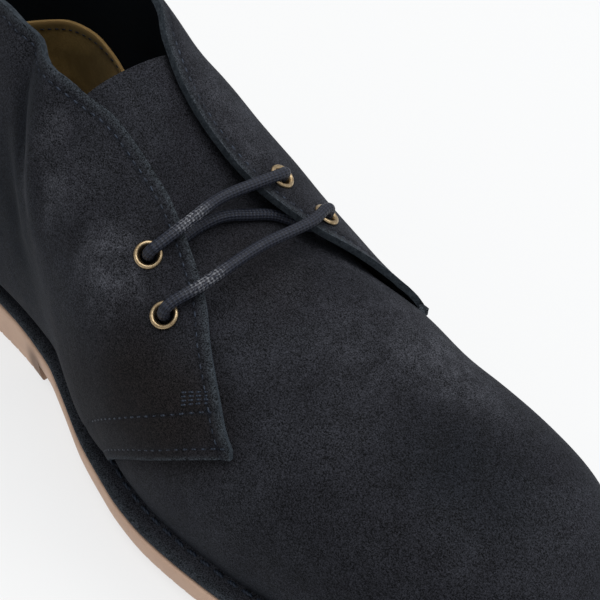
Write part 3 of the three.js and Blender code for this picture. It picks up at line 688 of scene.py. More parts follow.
# %% Pattern edges
COLLAR = table("x z", (14, 123), (20, 125), (30, 129), (45, 135), (58, 138.6), (68, 139.4), (78, 138),
               (88, 134), (96.5, 128.4), (107, 122))
FACING = table("x width", (90, 20.5), (97, 18.5), (103, 15), (107.5, 13.3), (117.5, 9.9), (125.5, 9.2),
               (135.5, 9.6), (146, 12.1), (157, 16), (167.5, 20.8), (178, 28.3), (188.5, 34.5),
               (196, 38.7), (200.5, 40.6))
QUARTER_LOWER = table("x z", (147, 12.9), (153, 22.5), (160, 30.5), (175.5, 43), (190, 51), (201.5, 55.6))
THROAT = table("share x", (0, 134), (0.35, 161), (0.7, 190), (0.9, 200), (1, 202))
TONGUE_SIDE = table("x z", (180, 51), (166, 60.5), (150, 70), (134, 81), (119, 93), (102.5, 109.5))
LACING = {"x": 152.5, "z": 81.5, "spread": 18}

collar_at = curve(COLLAR, "x", "z")
facing_at = curve(FACING, "x", "width")
quarter_lower = curve(QUARTER_LOWER, "x", "z")
throat_x = curve(THROAT, "share", "x")
FACING_LIFT = 2.8
LACE_LIFT = 1.4
TONGUE_DIP = 2.5
TONGUE_SET_IN = 0.9
TONGUE_TIP_X = 108
TIP_TUCK = 2.6
TIP_X = 150


def lace_room(x, z):
    return np.exp(-((x - LACING["x"]) ** 2 + (z - LACING["z"]) ** 2) / (2 * LACING["spread"] ** 2))


def quarter_top(x, side):
    share = smooth(92, 106, x)
    over_foot = top_height(x, np.minimum(facing_at(x), 0.97 * upright_width(x, crown_at(x), side)), side)
    return mix(collar_at(x), over_foot, share)


def quarter_lift(x, z):
    return FACING_LIFT * smooth(118, 150, x + 0.45 * z) + LACE_LIFT * lace_room(x, z)


def tongue_dip(x, z):
    return -TONGUE_DIP * lace_room(x, z) - TONGUE_SET_IN * smooth(0, 25, 200 - x)


def patch(near, far, low, high, s, v):
    """Rows by columns of (x, z) places spread between four edges seen from the side."""
    ends = np.array([0.0, 1.0])
    corner_low, corner_high = low(ends), high(ends)
    across, upward = s[None, :, None], v[:, None, None]
    sides = mix(near(v)[:, None], far(v)[:, None], across)
    levels = mix(low(s)[None], high(s)[None], upward)
    corners = mix(mix(corner_low[0], corner_low[1], across), mix(corner_high[0], corner_high[1], across), upward)
    return sides + levels - corners


def side_places(x, z):
    return np.stack(np.broadcast_arrays(x, z), axis=-1)


def tip_tuck(x, rise):
    """How far the leather is pulled in where the quarter's lower edge leaves the sole."""
    return TIP_TUCK * bell(rise, 7) * bell(x - TIP_X, 16)


def throat_place(share):
    x = throat_x(share)
    return side_places(x, mix(seat_at(x), crown_at(x), share))


# %% [markdown]
# ## Quarters
# On the boot the two quarters meet in a seam at the back of the heel. As one sheet they keep a
# single smooth collar, and the back seam is pressed in afterwards as a narrow trough. The lower
# edge is pulled in against the sole, where the leather turns outwards, and a trough follows each
# row of stitches.

# %% Quarter sheet
QUARTER_COLUMNS = 120
BASE_TUCK = 2.3
BASE_TUCK_RISE = 5.5
EDGE_ROW = 3.3
LOWER_ROWS = (3.0, 12.6)

v = np.concatenate([np.linspace(0, 0.12, 17)[:-1], np.linspace(0.12, 0.88, 44)[:-1], np.linspace(0.88, 1, 22)])
t = np.arange(QUARTER_COLUMNS + 1) / QUARTER_COLUMNS
s = 1 - (np.cos(np.pi * t) + 1) / 4 - np.cos(np.pi / 2 * t) / 2


def quarter_patch(side):
    front_x, front_z = QUARTER_LOWER["x"][-1], QUARTER_LOWER["z"][-1]
    top_x = FACING["x"][-1]
    seat, top = float(seat_at(HEEL_POINT)), COLLAR["z"][0]

    def heel_edge(v):
        z = mix(seat, top, v)
        return side_places(heel_back_at(z), z)

    def front_edge(v):
        return side_places(mix(front_x, top_x, v), mix(front_z, quarter_top(np.array(top_x), side), v))

    def lower_edge(s):
        x = mix(float(heel_back_at(seat)), front_x, s)
        return side_places(x, np.where(x < QUARTER_LOWER["x"][0], seat_at(x), quarter_lower(x)))

    def upper_edge(s):
        x = mix(float(heel_back_at(top)), top_x, s)
        return side_places(x, quarter_top(x, side))

    return patch(heel_edge, front_edge, lower_edge, upper_edge, s, v)


inner_places, outer_places = quarter_patch(1), quarter_patch(-1)
side_view = np.concatenate([inner_places[:, :0:-1], outer_places], axis=1)
sides = np.where(np.arange(side_view.shape[1]) < QUARTER_COLUMNS, 1, -1)
places = form_point(side_view[..., 0], side_view[..., 1], sides[None])
quarters = grid_piece("quarters", places)
shape = places.shape[:2]
points, slopes = points_of(quarters), slopes_of(quarters)
x, z = points[:, 0], points[:, 2]
side = np.broadcast_to(sides, shape).ravel()

top_line, low_line = places[-1], places[0]
to_top, _ = nearest(points, top_line[::2])
front = low_line[:, 0] > QUARTER_LOWER["x"][0]
to_low = np.minimum(nearest(points, low_line[front & (sides > 0)])[0],
                    nearest(points, low_line[front & (sides < 0)])[0])
rise = np.maximum(z - seat_at(x), 0)
offset = quarter_lift(x, z) - 0.5 * bell(to_low, 7)
offset -= BASE_TUCK * bell(rise, BASE_TUCK_RISE)
offset -= tip_tuck(x, rise)
offset -= crease_depth(points, side)
offset += 0.35 * waves(points, 46, 3) * smooth(4, 22, to_top) * smooth(4, 18, to_low) * smooth(4, 18, rise)
offset -= 0.32 * bell(to_top - EDGE_ROW, 0.9)
for row in LOWER_ROWS:
    offset -= 0.3 * bell(to_low - row, 0.9)
offset -= 0.55 * bell(points[:, 1], 1.3) * (x < 40)
offset += 0.35 * bell(to_top, 1.6) * smooth(100, 125, x)
points = points + slopes * offset[:, None]
set_points(quarters, points)
slopes = slopes_of(quarters)
quarter_face = (points + slopes * LEATHER).reshape(*shape, 3)
quarter_slope = slopes.reshape(*shape, 3)
quarter_to_top = to_top.reshape(shape)
quarter_to_low = to_low.reshape(shape)
rows_near = bell(to_top - EDGE_ROW, 0.8) + bell(points[:, 1], 1.2) * (x < 40)
for row in LOWER_ROWS:
    rows_near += bell(to_low - row, 0.8)
mark(quarters, "worn", np.maximum(bell(to_top, 1.5), 0.9 * bell(to_low, 0.8)))
# the stitch rows are darker, and painted shade darkens the quarters low near the sole
mark(quarters, "sewn", rows_near + 0.9 * bell(rise, 16))
finish_sheet(quarters, LEATHER, 0.7)

# %% [markdown]
# ## Eyelet holes
# The lace passes through four brass eyelets set in the facings. Their places are given by a
# distance along the boot and a distance from its middle, and each stands square on the leather.
# The holes are punched now, with a boolean cut by four short rods, before the quarters are done.

# %% Eyelet places and punched holes
EYELETS = table("x outer inner", (146.2, 24.3, 22.6), (162, 30.5, 27))
EYELET_PUNCH = 6.9


def off_form(x, z, side, reach):
    """A place at a distance off the last, with the outward direction there."""
    forward = form_point(x + 0.4, z, side) - form_point(x - 0.4, z, side)
    upward = form_point(x, z + 0.4, side) - form_point(x, z - 0.4, side)
    slope = np.cross(forward, upward) * -side
    slope /= np.linalg.norm(slope)
    return form_point(x, z, side) + slope * reach, slope


eyelet_places = {}
for level, name in ((0, "top"), (1, "bottom")):
    for side, word in ((-1, "outer"), (1, "inner")):
        x, width = EYELETS["x"][level], EYELETS[word][level]
        z = float(top_height(x, width, side))
        eyelet_places[word + "_" + name] = off_form(x, z, side, float(quarter_lift(x, z)) + LEATHER)


def standing(point, slope, spin=0.0):
    """The move and turn that stand a piece made at the origin on a place, facing outwards."""
    turn = Vector(slope).to_track_quat("Z", "X").to_matrix().to_4x4() @ Matrix.Rotation(spin, 4, "Z")
    return Matrix.Translation(Vector((np.asarray(point) - MIDDLE) * MM)) @ turn


rods = []
for point, slope in eyelet_places.values():
    bpy.ops.object.select_all(action="DESELECT")
    bpy.ops.mesh.primitive_cylinder_add(vertices=48, radius=EYELET_PUNCH / 2 * MM, depth=9 * MM)
    rod = bpy.context.object
    rod.data.transform(standing(point, slope))
    rods.append(rod)
activate(rods[0])
for rod in rods:
    rod.select_set(True)
bpy.ops.object.join()
punch = bpy.context.object
paint(punch, edge_finish)
apply_modifier(quarters, "BOOLEAN", operation="DIFFERENCE", object=punch, solver="EXACT")
bpy.data.objects.remove(punch)
activate(quarters)
bpy.ops.object.shade_smooth_by_angle(angle=math.radians(45))
ready(quarters, "upper_suede", "upper")

# %% [markdown]
# ## Vamp and tongue
# The vamp and tongue are cut from one skin, so no seam may show at the throat. Two grids share the
# throat line, column for column, and are joined there: one fans over the toe to a pole at its
# tip, the other climbs the instep to the top of the tongue. The tongue is pressed in a little
# where the lace lies on it.

# %% Vamp and tongue sheet
VAMP_ROWS = 120
TONGUE_ROWS = 70
RIDGE_SPACING = 2.4
VAMP_TUCK = 1.4

start_x, start_z = TONGUE_SIDE["x"][0], TONGUE_SIDE["z"][0]
side_share = (start_z - seat_at(start_x)) / (crown_at(start_x) - seat_at(start_x))
side_turn = (1 - side_share) ** (1 / RIDGE_SPACING)
t = np.concatenate([np.linspace(0, side_turn, 61), np.linspace(side_turn, 1, 29)[1:]])
s = t**RIDGE_SPACING
v = np.sin(np.pi / 2 * np.arange(VAMP_ROWS + 1) / VAMP_ROWS)


def vamp_ridge(v):
    x = mix(throat_x(1.0), TOE_POINT, v)
    return side_places(x, crown_at(x))


def vamp_foot(v):
    x = mix(throat_x(0.0), TOE_POINT, v)
    return side_places(x, seat_at(x))


def tongue_ridge(v):
    x = mix(throat_x(1.0), TONGUE_TIP_X, v)
    return side_places(x, crown_at(x))


chord = np.concatenate([[0], np.cumsum(np.hypot(np.diff(TONGUE_SIDE["x"]), np.diff(TONGUE_SIDE["z"])))])
side_run = {"share": chord / chord[-1], **TONGUE_SIDE}
side_x, side_z = curve(side_run, "share", "x"), curve(side_run, "share", "z")
start = throat_place(np.array(side_share))


def tongue_edge(v):
    pull = 1 - smooth(0, 0.25, v)
    return side_places(side_x(v) + pull * (start[0] - start_x), side_z(v) + pull * (start[1] - start_z))


def tongue_top(s):
    crown, corner = tongue_ridge(np.array([1.0]))[0], tongue_edge(np.array([1.0]))[0]
    return mix(crown, corner, s[:, None]) + (s * (1 - s))[:, None] * np.array([3.0, 4.0])


def both_sides(grid):
    """A side-view grid on the inner side joined along the ridge to the same on the outer side."""
    inner = form_point(grid[..., 0], grid[..., 1], 1)
    outer = form_point(grid[..., 0], grid[..., 1], -1)
    return np.concatenate([inner[:, :0:-1], outer], axis=1)


vamp_places = both_sides(patch(vamp_ridge, vamp_foot, lambda s: throat_place(1 - s),
                               lambda s: side_places(TOE_POINT + 0 * s, seat_at(TOE_POINT)), s, v))
tongue_s = s[:61] / (1 - side_share)
tongue_v = np.linspace(0, 1, TONGUE_ROWS + 1)
tongue_places = both_sides(patch(tongue_ridge, tongue_edge, lambda s: throat_place(mix(1, side_share, s)),
                                 tongue_top, tongue_s, tongue_v))[::-1]
vamp = grid_piece("vamp_and_tongue", vamp_places)
tongue = grid_piece("tongue_part", tongue_places)
activate(vamp)
tongue.select_set(True)
bpy.ops.object.join()
merge(vamp, 0.01)

points, slopes = points_of(vamp), slopes_of(vamp)
x, z = points[:, 0], points[:, 2]
side = np.where(points[:, 1] < axis_at(x), -1, 1)
share = np.clip((z - seat_at(x)) / np.maximum(crown_at(x) - seat_at(x), 1e-6), 0, 1)
ahead = x - throat_x(share)
rise = np.maximum(z - seat_at(x), 0)
offset = (tongue_dip(x, z) - 0.4 * smooth(0, 25, 200 - x)) * (1 - smooth(0, 15, ahead))
offset -= VAMP_TUCK * bell(rise, BASE_TUCK_RISE) * smooth(0, 3, ahead + 3)
offset -= tip_tuck(x, rise) * smooth(-1, 4, z - quarter_lower(x))
offset -= crease_depth(points, side)
offset += 0.45 * waves(points, 60, 8) * smooth(3, 20, rise) * smooth(-10, 25, ahead)
offset -= 0.5 * bell(points[:, 1] - axis_at(x), 6) * bell(x - 214, 14)
set_points(vamp, points + slopes * offset[:, None])
# painted shade on the vamp low near the sole
mark(vamp, "sewn", 0.8 * bell(rise, 11) * smooth(-2, 4, ahead))
finish_sheet(vamp, LEATHER, 0.4, (tongue_finish, flesh_and_shade_finish, edge_finish))
ready(vamp, "upper_suede", "upper", "tongue")

# %% [markdown]
# ## The turned-out edge
# Stitchdown is what gives this boot its ledge: vamp and quarters turn outwards and lie flat on
# the sole, and one long row of heavy thread holds them. The ledge is a ring of points around the
# last's outline, with a small hollow where it leaves the upper, and the leather puckers a little
# between the stitches.

# %% Turned-out edge
GAP = 0.3
RING_STEPS = 512
STITCH_LINE = 5.9
STITCH_SINK = 0.18
PUCKER = 0.13
LEDGE_TOP = 2.2                  # the ledge is uneven only above this height


def ring_piece(name, loops, closed=True):
    """A tube of faces through loops of points, each loop closed on itself."""
    count = len(loops[0])
    points = np.concatenate(loops)
    faces = []
    for k in range(len(loops) if closed else len(loops) - 1):
        low, high = k * count, (k + 1) % len(loops) * count
        faces += [(low + i, low + (i + 1) % count, high + (i + 1) % count, high + i) for i in range(count)]
    mesh = bpy.data.meshes.new(name)
    mesh.from_pydata(((points - MIDDLE) * MM).tolist(), [], faces)
    piece = bpy.data.objects.new(name, mesh)
    bpy.context.collection.objects.link(piece)
    return piece


def make_outwards(piece):
    activate(piece)
    bpy.ops.object.mode_set(mode="EDIT")
    bpy.ops.mesh.select_all(action="SELECT")
    bpy.ops.mesh.normals_make_consistent(inside=False)
    bpy.ops.object.mode_set(mode="OBJECT")


LEDGE_SECTION = (
    # reach from the last's outline, or from the outer edge where the name says so, and height
    ("root", -2.2, 5.6), ("root", -1.0, 4.6), ("root", -0.35, 3.9), ("root", 0.0, 3.35),
    ("root", 0.5, 2.92), ("root", 1.1, 2.68), ("edge", -6.0, 2.6), ("edge", -5.0, 2.62),
    ("edge", -3.4, 2.6), ("edge", -1.8, 2.52), ("edge", -0.8, 2.4), ("edge", -0.25, 2.12),
    ("edge", 0.0, 1.6), ("edge", 0.0, 0.9), ("edge", -0.3, 0.45), ("edge", -1.2, 0.3),
    ("root", -2.2, 0.3),
)
thread_line = outline(RING_STEPS, lambda x: reach_at(x) - STITCH_LINE, lambda x: sole_at(x) + 2.62)
thread_run = np.concatenate([[0], np.cumsum(np.linalg.norm(np.diff(thread_line, axis=0), axis=1))])
thread_length = thread_run[-1] + np.linalg.norm(thread_line[0] - thread_line[-1])
STITCH_COUNT = int(thread_length / 5.6)
pucker = np.cos(2 * np.pi * STITCH_COUNT * thread_run / thread_length)
loops = []
for origin, reach, height in LEDGE_SECTION:
    on_top = height > LEDGE_TOP
    if origin == "root":
        loop = outline(RING_STEPS, reach, lambda x: sole_at(x) + height)
    else:
        loop = outline(RING_STEPS, lambda x: reach_at(x) + reach, lambda x: sole_at(x) + height)
        if on_top:
            loop[:, 2] += (PUCKER * pucker - STITCH_SINK) * np.exp(-(((reach + STITCH_LINE) / 2.2) ** 2))
    if on_top:
        loop[:, 2] += 0.12 * waves(loop, 38, 5)
    loops.append(loop)
ledge = ring_piece("turned_out_edge", loops)
make_outwards(ledge)
reach_of = np.concatenate([np.full(RING_STEPS, reach if origin == "edge" else -9.0)
                           for origin, reach, height in LEDGE_SECTION])
mark(ledge, "worn", 0.75 * bell(reach_of + 0.3, 2.2))
# the ledge's suede is made lighter: painted light
paint(ledge, ledge_painted_light_finish)
activate(ledge)
bpy.ops.object.shade_smooth()
ready(ledge, "upper_suede", "upper")
print("thread line", round(thread_length), "mm with", STITCH_COUNT, "stitches")

# %% [markdown]
# ## Thread
# Every seam is a row of short stitches that dive into the leather at both ends. One stitch is
# modelled, as a small egg whose ends are bent down, and copied along a line at a steady pitch.
# The lines follow the panels: a fixed distance from the collar and facing, two rows across the
# lower edge of each quarter, a pair down the back seam, a short tack on each facing, and the long
# stitches of the ledge.

# %% Thread finish and one stitch
thread_finish = Finish("navy_thread", Specular_IOR_Level=0.25)
where = thread_finish.place()
twist = thread_finish.node("ShaderNodeTexWave", {"wave_type": "BANDS", "bands_direction": "DIAGONAL"},
                           {"Vector": where, "Scale": 420.0, "Distortion": 1.5}, 1)
thread_finish.set(Base_Color=thread_finish.blend(twist, (0.004, 0.007, 0.014), (0.022, 0.032, 0.052)),
                  Roughness=0.62 - twist * 0.12, Normal=thread_finish.bump(twist, 0.12, 0.8))

bpy.ops.object.select_all(action="DESELECT")
bpy.ops.mesh.primitive_uv_sphere_add(segments=10, ring_count=6, radius=1)
stitch = bpy.context.object
bpy.ops.object.mode_set(mode="EDIT")
bpy.ops.transform.rotate(value=math.pi / 2, orient_axis="Y", center_override=(0, 0, 0))
bpy.ops.object.mode_set(mode="OBJECT")
STITCH = np.array([v.co for v in stitch.data.vertices])
STITCH_FACES = [tuple(p.vertices) for p in stitch.data.polygons]
bpy.data.objects.remove(stitch)


def spaced(line, slopes, pitch):
    """Points, directions and slopes at a steady pitch along a line."""
    run = np.concatenate([[0], np.cumsum(np.linalg.norm(np.diff(line, axis=0), axis=1))])
    count = max(int(run[-1] / pitch), 1)
    at = (np.arange(count) + 0.5) * run[-1] / count
    step = 0.3 * pitch
    here, before, after = (np.stack([np.interp(at + d, run, line[:, k]) for k in range(3)], -1)
                           for d in (0, -step, step))
    slope = np.stack([np.interp(at, run, slopes[:, k]) for k in range(3)], -1)
    way = after - before
    way /= np.linalg.norm(way, axis=1, keepdims=True)
    slope -= way * np.sum(slope * way, axis=1, keepdims=True)
    slope /= np.linalg.norm(slope, axis=1, keepdims=True)
    return here, way, slope


def thread_piece(name, rows, pitch, length, width, height, seed=1):
    """One mesh of copies of the stitch; rows are pairs of a line and its slopes."""
    chance = np.random.default_rng(seed)
    points, faces = [], []
    bent = STITCH * np.array([length / 2, width / 2, height])
    bent[:, 2] -= 1.5 * height * np.abs(STITCH[:, 0]) ** 4
    for line, slopes in rows:
        for place, way, slope in zip(*spaced(line, slopes, pitch)):
            across = np.cross(slope, way)
            yaw = chance.normal(0, 0.05)
            ahead = way * math.cos(yaw) + across * math.sin(yaw)
            turned = bent @ np.stack([ahead, np.cross(slope, ahead), slope])
            start = len(points) * len(STITCH)
            points.append(turned + place + slope * chance.normal(0, 0.03))
            faces += [tuple(start + i for i in face) for face in STITCH_FACES]
    mesh = bpy.data.meshes.new(name)
    mesh.from_pydata(((np.concatenate(points) - MIDDLE) * MM).tolist(), [], faces)
    piece = bpy.data.objects.new(name, mesh)
    bpy.context.collection.objects.link(piece)
    paint(piece, thread_finish)
    activate(piece)
    bpy.ops.object.shade_smooth()
    ready(piece, "upper_suede")
    print("   ", len(points), "stitches")
    return piece


# %% Lines of stitches on the quarters
def line_at(distance, level, columns, from_top):
    """The line on the quarters' face where the distance to an edge has a given value."""
    line, slopes = [], []
    rows = range(distance.shape[0])
    rows = list(reversed(rows)) if from_top else list(rows)
    for j in columns:
        d = distance[rows, j]
        k = int(np.argmax(d >= level))
        if d[k] < level or k == 0:
            continue
        share = (level - d[k - 1]) / (d[k] - d[k - 1])
        line.append(mix(quarter_face[rows[k - 1], j], quarter_face[rows[k], j], share))
        slopes.append(mix(quarter_slope[rows[k - 1], j], quarter_slope[rows[k], j], share))
    return np.array(line), np.array(slopes)


TACK_ROWS = 4
# the first tack's two ends as distances along the boot and from its middle, and the step to the next
TACK_BACK, TACK_FRONT, TACK_STEP = (179.2, 39.5), (186.2, 35.3), (0.6, 0.55)
columns = np.arange(quarter_face.shape[1])
top_row = line_at(quarter_to_top, EDGE_ROW, columns[2:-2], True)
rows = [top_row]
for side in (-1, 1):
    crossing = columns[(sides == side) & (low_line[:, 0] > QUARTER_LOWER["x"][0] + 1)]
    for level in LOWER_ROWS:
        line, slopes = line_at(quarter_to_low, level, crossing, False)
        inside = quarter_lower(line[:, 0]) + 1 < line[:, 2]
        rows.append((line[inside], slopes[inside]))
for j in (QUARTER_COLUMNS - 2, QUARTER_COLUMNS + 2):
    rows.append((quarter_face[12:-6, j], quarter_slope[12:-6, j]))
tacks = []
face_points = quarter_face.reshape(-1, 3)
for side in (-1, 1):
    for k in range(TACK_ROWS):
        back, front_end = ([at + step * k for at, step in zip(end, TACK_STEP)]
                           for end in (TACK_BACK, TACK_FRONT))
        line, slopes = [], []
        for share in np.linspace(0, 1, 9):
            tack_x, width = mix(back[0], front_end[0], share), mix(back[1], front_end[1], share)
            tack_z = float(top_height(tack_x, width, side))
            place, slope = off_form(tack_x, tack_z, side, float(quarter_lift(tack_x, tack_z)) + LEATHER)
            closest = face_points[np.argmin(np.linalg.norm(face_points - place, axis=1))]
            line.append(place - slope * np.dot(place - closest, slope))
            slopes.append(slope)
        tacks.append((np.array(line), np.array(slopes)))
thread_piece("facing_tacks", tacks, 1.9, 2.1, 0.6, 0.25, 9)
thread_piece("quarter_stitches", [(line - slopes * 0.12, slopes) for line, slopes in rows],
             3.1, 2.5, 0.72, 0.30)

thread_piece("ledge_stitches", [(thread_line, np.tile([0.0, 0.0, 1.0], (RING_STEPS, 1)))],
             thread_length / STITCH_COUNT, 5.2, 1.3, 0.5, 2)

# %% [markdown]
# ## Eyelets
# A two-part eyelet is a thin brass tube rolled over outwards into a ring. Its section is drawn as
# a line of edges and spun about the eyelet's axis; the other three are copies of the same mesh.
# The brass is an old one, pale gold with cloudy patches of brown tarnish.

# %% Eyelets
brass_finish = Finish("antique_brass", Metallic=1.0)
where = brass_finish.place()
tarnish = brass_finish.noise(where, 1.6, 4, 0.65).ramp(0.35, 0.7)
scratch = brass_finish.noise(where, 0.35, 2, 0.6)
worn = brass_finish.node("ShaderNodeNewGeometry", output="Pointiness").ramp(0.49, 0.56)
brass_finish.set(Base_Color=brass_finish.blend((tarnish * 0.75).clamp(), (0.50, 0.385, 0.235), (0.21, 0.14, 0.075)),
                 Roughness=0.26 + tarnish * 0.16 + scratch * 0.08,
                 Normal=brass_finish.bump(scratch, 0.03, 0.5))

EYELET_SECTION = (
    # radius and height above the leather
    (2.55, -2.1), (2.58, -0.6), (2.72, 0.35), (2.98, 0.85), (3.3, 1.12), (3.65, 1.18), (3.98, 1.04),
    (4.2, 0.78), (4.3, 0.45), (4.22, 0.2), (4.0, 0.06), (2.9, 0.0), (2.9, -2.1),
)


def spun(name, section, steps):
    """A ring made by spinning a closed section about the z axis, in model millimetres."""
    mesh = bpy.data.meshes.new(name)
    count = len(section)
    mesh.from_pydata([(r * MM, 0, h * MM) for r, h in section], [(i, (i + 1) % count) for i in range(count)], [])
    piece = bpy.data.objects.new(name, mesh)
    bpy.context.collection.objects.link(piece)
    activate(piece)
    bpy.ops.object.mode_set(mode="EDIT")
    bpy.ops.mesh.select_all(action="SELECT")
    bpy.ops.mesh.spin(steps=steps, angle=2 * math.pi, center=(0, 0, 0), axis=(0, 0, 1))
    bpy.ops.mesh.select_all(action="SELECT")
    bpy.ops.mesh.remove_doubles(threshold=0.01 * MM)
    bpy.ops.mesh.normals_make_consistent(inside=False)
    bpy.ops.object.mode_set(mode="OBJECT")
    return piece


pattern = spun("eyelet_ring", EYELET_SECTION, 64)
for name, (point, slope) in eyelet_places.items():
    ring = pattern.copy()
    ring.data = pattern.data.copy()
    ring.name = "eyelet_ring_" + name
    bpy.context.collection.objects.link(ring)
    ring.data.transform(standing(point, slope))
    paint(ring, brass_finish)
    activate(ring)
    bpy.ops.object.shade_smooth_by_angle(angle=math.radians(50))
    ready(ring, "eyelet_brass", "eyelet_" + name)
bpy.data.objects.remove(pattern)

# %% [markdown]
# ## Lace
# One waxed round cord laces the boot: a bar across the lower eyelets, a diagonal under the facings
# and a bar across the upper ones. Its route repeats the model's own points, so that it lies just
# as its solid does, clear of the leather. The cord is a tube of rings with its own unwrapping,
# length along one way and turn round the other, so that its braid can follow it.

# %% Route of the lace
LACE_RADIUS = 1.8


def through_eyelet(name, beneath, above):
    """Points of a bend through an eyelet, from beneath the facing to above it."""
    point, slope = eyelet_places[name]

    def flat(toward):
        way = toward - point
        way = way - slope * (way @ slope)
        return way / np.linalg.norm(way)

    def at(way, side, height):
        return point + way * side + slope * height

    up = flat(above)
    low = -LEATHER - LACE_RADIUS - 0.7
    high = GAP + 1.1 + LACE_RADIUS + GAP
    over_ring = [at(up, 0, 0.4), at(up, 0.25, high - 1.7), at(up, 1.7, high - 0.15), at(up, 4, high)]
    if beneath is None:
        return [at(up, 0, -LEATHER - 1.2), at(up, 0, -LEATHER + 0.4), *over_ring]
    down = flat(beneath)
    under = [at(down, 4.2, low - 0.3), at(down, 1.7, low + 0.1), at(down, 0.3, low + 1.4)]
    return [*under, at(down, 0, -LEATHER + 0.6), *over_ring]


def over_tongue(x, width, side):
    z = float(top_height(x, width, side))
    return off_form(x, z, side, float(tongue_dip(x, z)) + 1.8 + LACE_RADIUS + GAP)[0]


def over_facing(x, width, side):
    z = float(top_height(x, width, side))
    return off_form(x, z, side, float(quarter_lift(x, z)) + LEATHER + LACE_RADIUS + 2 * GAP)[0]


def crest(x, reach):
    return np.array([x, float(axis_at(x)), float(crown_at(x)) + reach])


hole = {name: place[0] for name, place in eyelet_places.items()}
LACE_POINTS = [
    *through_eyelet("outer_bottom", None, hole["inner_bottom"]),
    over_facing(164.2, 20, -1), crest(166.4, 7.4), over_facing(164.6, 19, 1),
    *reversed(through_eyelet("inner_bottom", hole["outer_top"], hole["outer_bottom"])),
    over_tongue(155, 17, 1), over_tongue(152, 9, 1), crest(149.8, 1.7), over_tongue(148.2, 9, -1),
    *through_eyelet("outer_top", hole["inner_bottom"], hole["inner_top"]),
    over_facing(146.6, 12.5, -1), crest(149.5, 8.4), over_facing(146.6, 12.5, 1),
    *reversed(through_eyelet("inner_top", None, hole["outer_top"])),
]


def threaded(points, spacing):
    """A smooth line through the points (centripetal), then evenly spaced along its length."""
    points = [2 * points[0] - points[1], *points, 2 * points[-1] - points[-2]]
    line = []
    for a, b, c, d in zip(points, points[1:], points[2:], points[3:]):
        ta = 0.0
        tb = ta + max(np.linalg.norm(b - a) ** 0.5, 1e-4)
        tc = tb + max(np.linalg.norm(c - b) ** 0.5, 1e-4)
        td = tc + max(np.linalg.norm(d - c) ** 0.5, 1e-4)
        for t in np.linspace(tb, tc, 24, endpoint=False):
            ab = mix(a, b, (t - ta) / (tb - ta))
            bc = mix(b, c, (t - tb) / (tc - tb))
            cd = mix(c, d, (t - tc) / (td - tc))
            abc = mix(ab, bc, (t - ta) / (tc - ta))
            bcd = mix(bc, cd, (t - tb) / (td - tb))
            line.append(mix(abc, bcd, (t - tb) / (tc - tb)))
    line = np.array([*line, points[-2]])
    run = np.concatenate([[0], np.cumsum(np.linalg.norm(np.diff(line, axis=0), axis=1))])
    at = np.linspace(0, run[-1], int(run[-1] / spacing) + 1)
    return np.stack([np.interp(at, run, line[:, k]) for k in range(3)], -1), run[-1]


lace_line, lace_length = threaded(LACE_POINTS, 0.35)
print("lace on the boot:", round(lace_length), "mm")

# %% The cord and its braid
LACE_SIDES = 28


def cord_piece(name, line, radius, sides):
    """A tube round a line, with flat closed ends and an unwrapping of length by turn."""
    way = np.gradient(line, axis=0)
    way /= np.linalg.norm(way, axis=1, keepdims=True)
    across = np.cross(way[0], [0, 0, 1])
    frames = []
    for forward in way:
        across = across - forward * (across @ forward)
        across /= np.linalg.norm(across)
        frames.append((across, np.cross(forward, across)))
    turn = 2 * np.pi * np.arange(sides + 1) / sides
    run = np.concatenate([[0], np.cumsum(np.linalg.norm(np.diff(line, axis=0), axis=1))])
    rings = [place + radius * (np.cos(turn)[:, None] * a + np.sin(turn)[:, None] * b)
             for place, (a, b) in zip(line, frames)]
    piece = grid_piece(name, np.array(rings))
    count = sides + 1
    layer = piece.data.uv_layers.active or piece.data.uv_layers.new(name="unwrap")
    layer.name = "unwrap"
    for loop in piece.data.loops:
        i, j = divmod(loop.vertex_index, count)
        layer.data[loop.index].uv = (run[i] / (2 * math.pi * radius), j / sides)
    merge(piece, 0.01)
    activate(piece)
    bpy.ops.object.mode_set(mode="EDIT")
    bpy.ops.mesh.select_mode(type="EDGE")
    bpy.ops.mesh.select_all(action="DESELECT")
    bpy.ops.mesh.select_non_manifold()
    bpy.ops.mesh.edge_face_add()
    bpy.ops.mesh.select_mode(type="VERT")
    bpy.ops.mesh.select_all(action="SELECT")
    bpy.ops.mesh.normals_make_consistent(inside=False)
    bpy.ops.object.mode_set(mode="OBJECT")
    bpy.ops.object.shade_smooth()
    return piece


lace = cord_piece("lace_cord", lace_line, LACE_RADIUS, LACE_SIDES)
lace_finish = Finish("waxed_cord", Specular_IOR_Level=0.3)
unwrap = lace_finish.node("ShaderNodeUVMap", {"uv_map": "unwrap"})
parts = lace_finish.node("ShaderNodeSeparateXYZ", None, {"Vector": unwrap})
around = lace_finish.node("ShaderNodeSeparateXYZ", None, {"Vector": unwrap}, 1)
STRANDS = 6
slant_a = ((parts * (STRANDS * 0.75) + around * STRANDS) * (2 * math.pi)).math("SINE")
slant_b = ((parts * (STRANDS * 0.75) - around * STRANDS) * (2 * math.pi)).math("SINE")
weave = slant_a * slant_b
wisp = lace_finish.noise(lace_finish.place(), 0.8, 3, 0.7)
strand = (weave * 0.5 + 0.5).ramp(0.15, 0.8)
wax = lace_finish.noise(lace_finish.place(), 2.4, 3, 0.6).ramp(0.5, 0.75)
cord_colour = lace_finish.blend(strand, (0.003, 0.004, 0.009), (0.016, 0.020, 0.034))
cord_colour = lace_finish.blend((wisp.ramp(0.55, 0.8) * 0.5), cord_colour, (0.034, 0.038, 0.052))
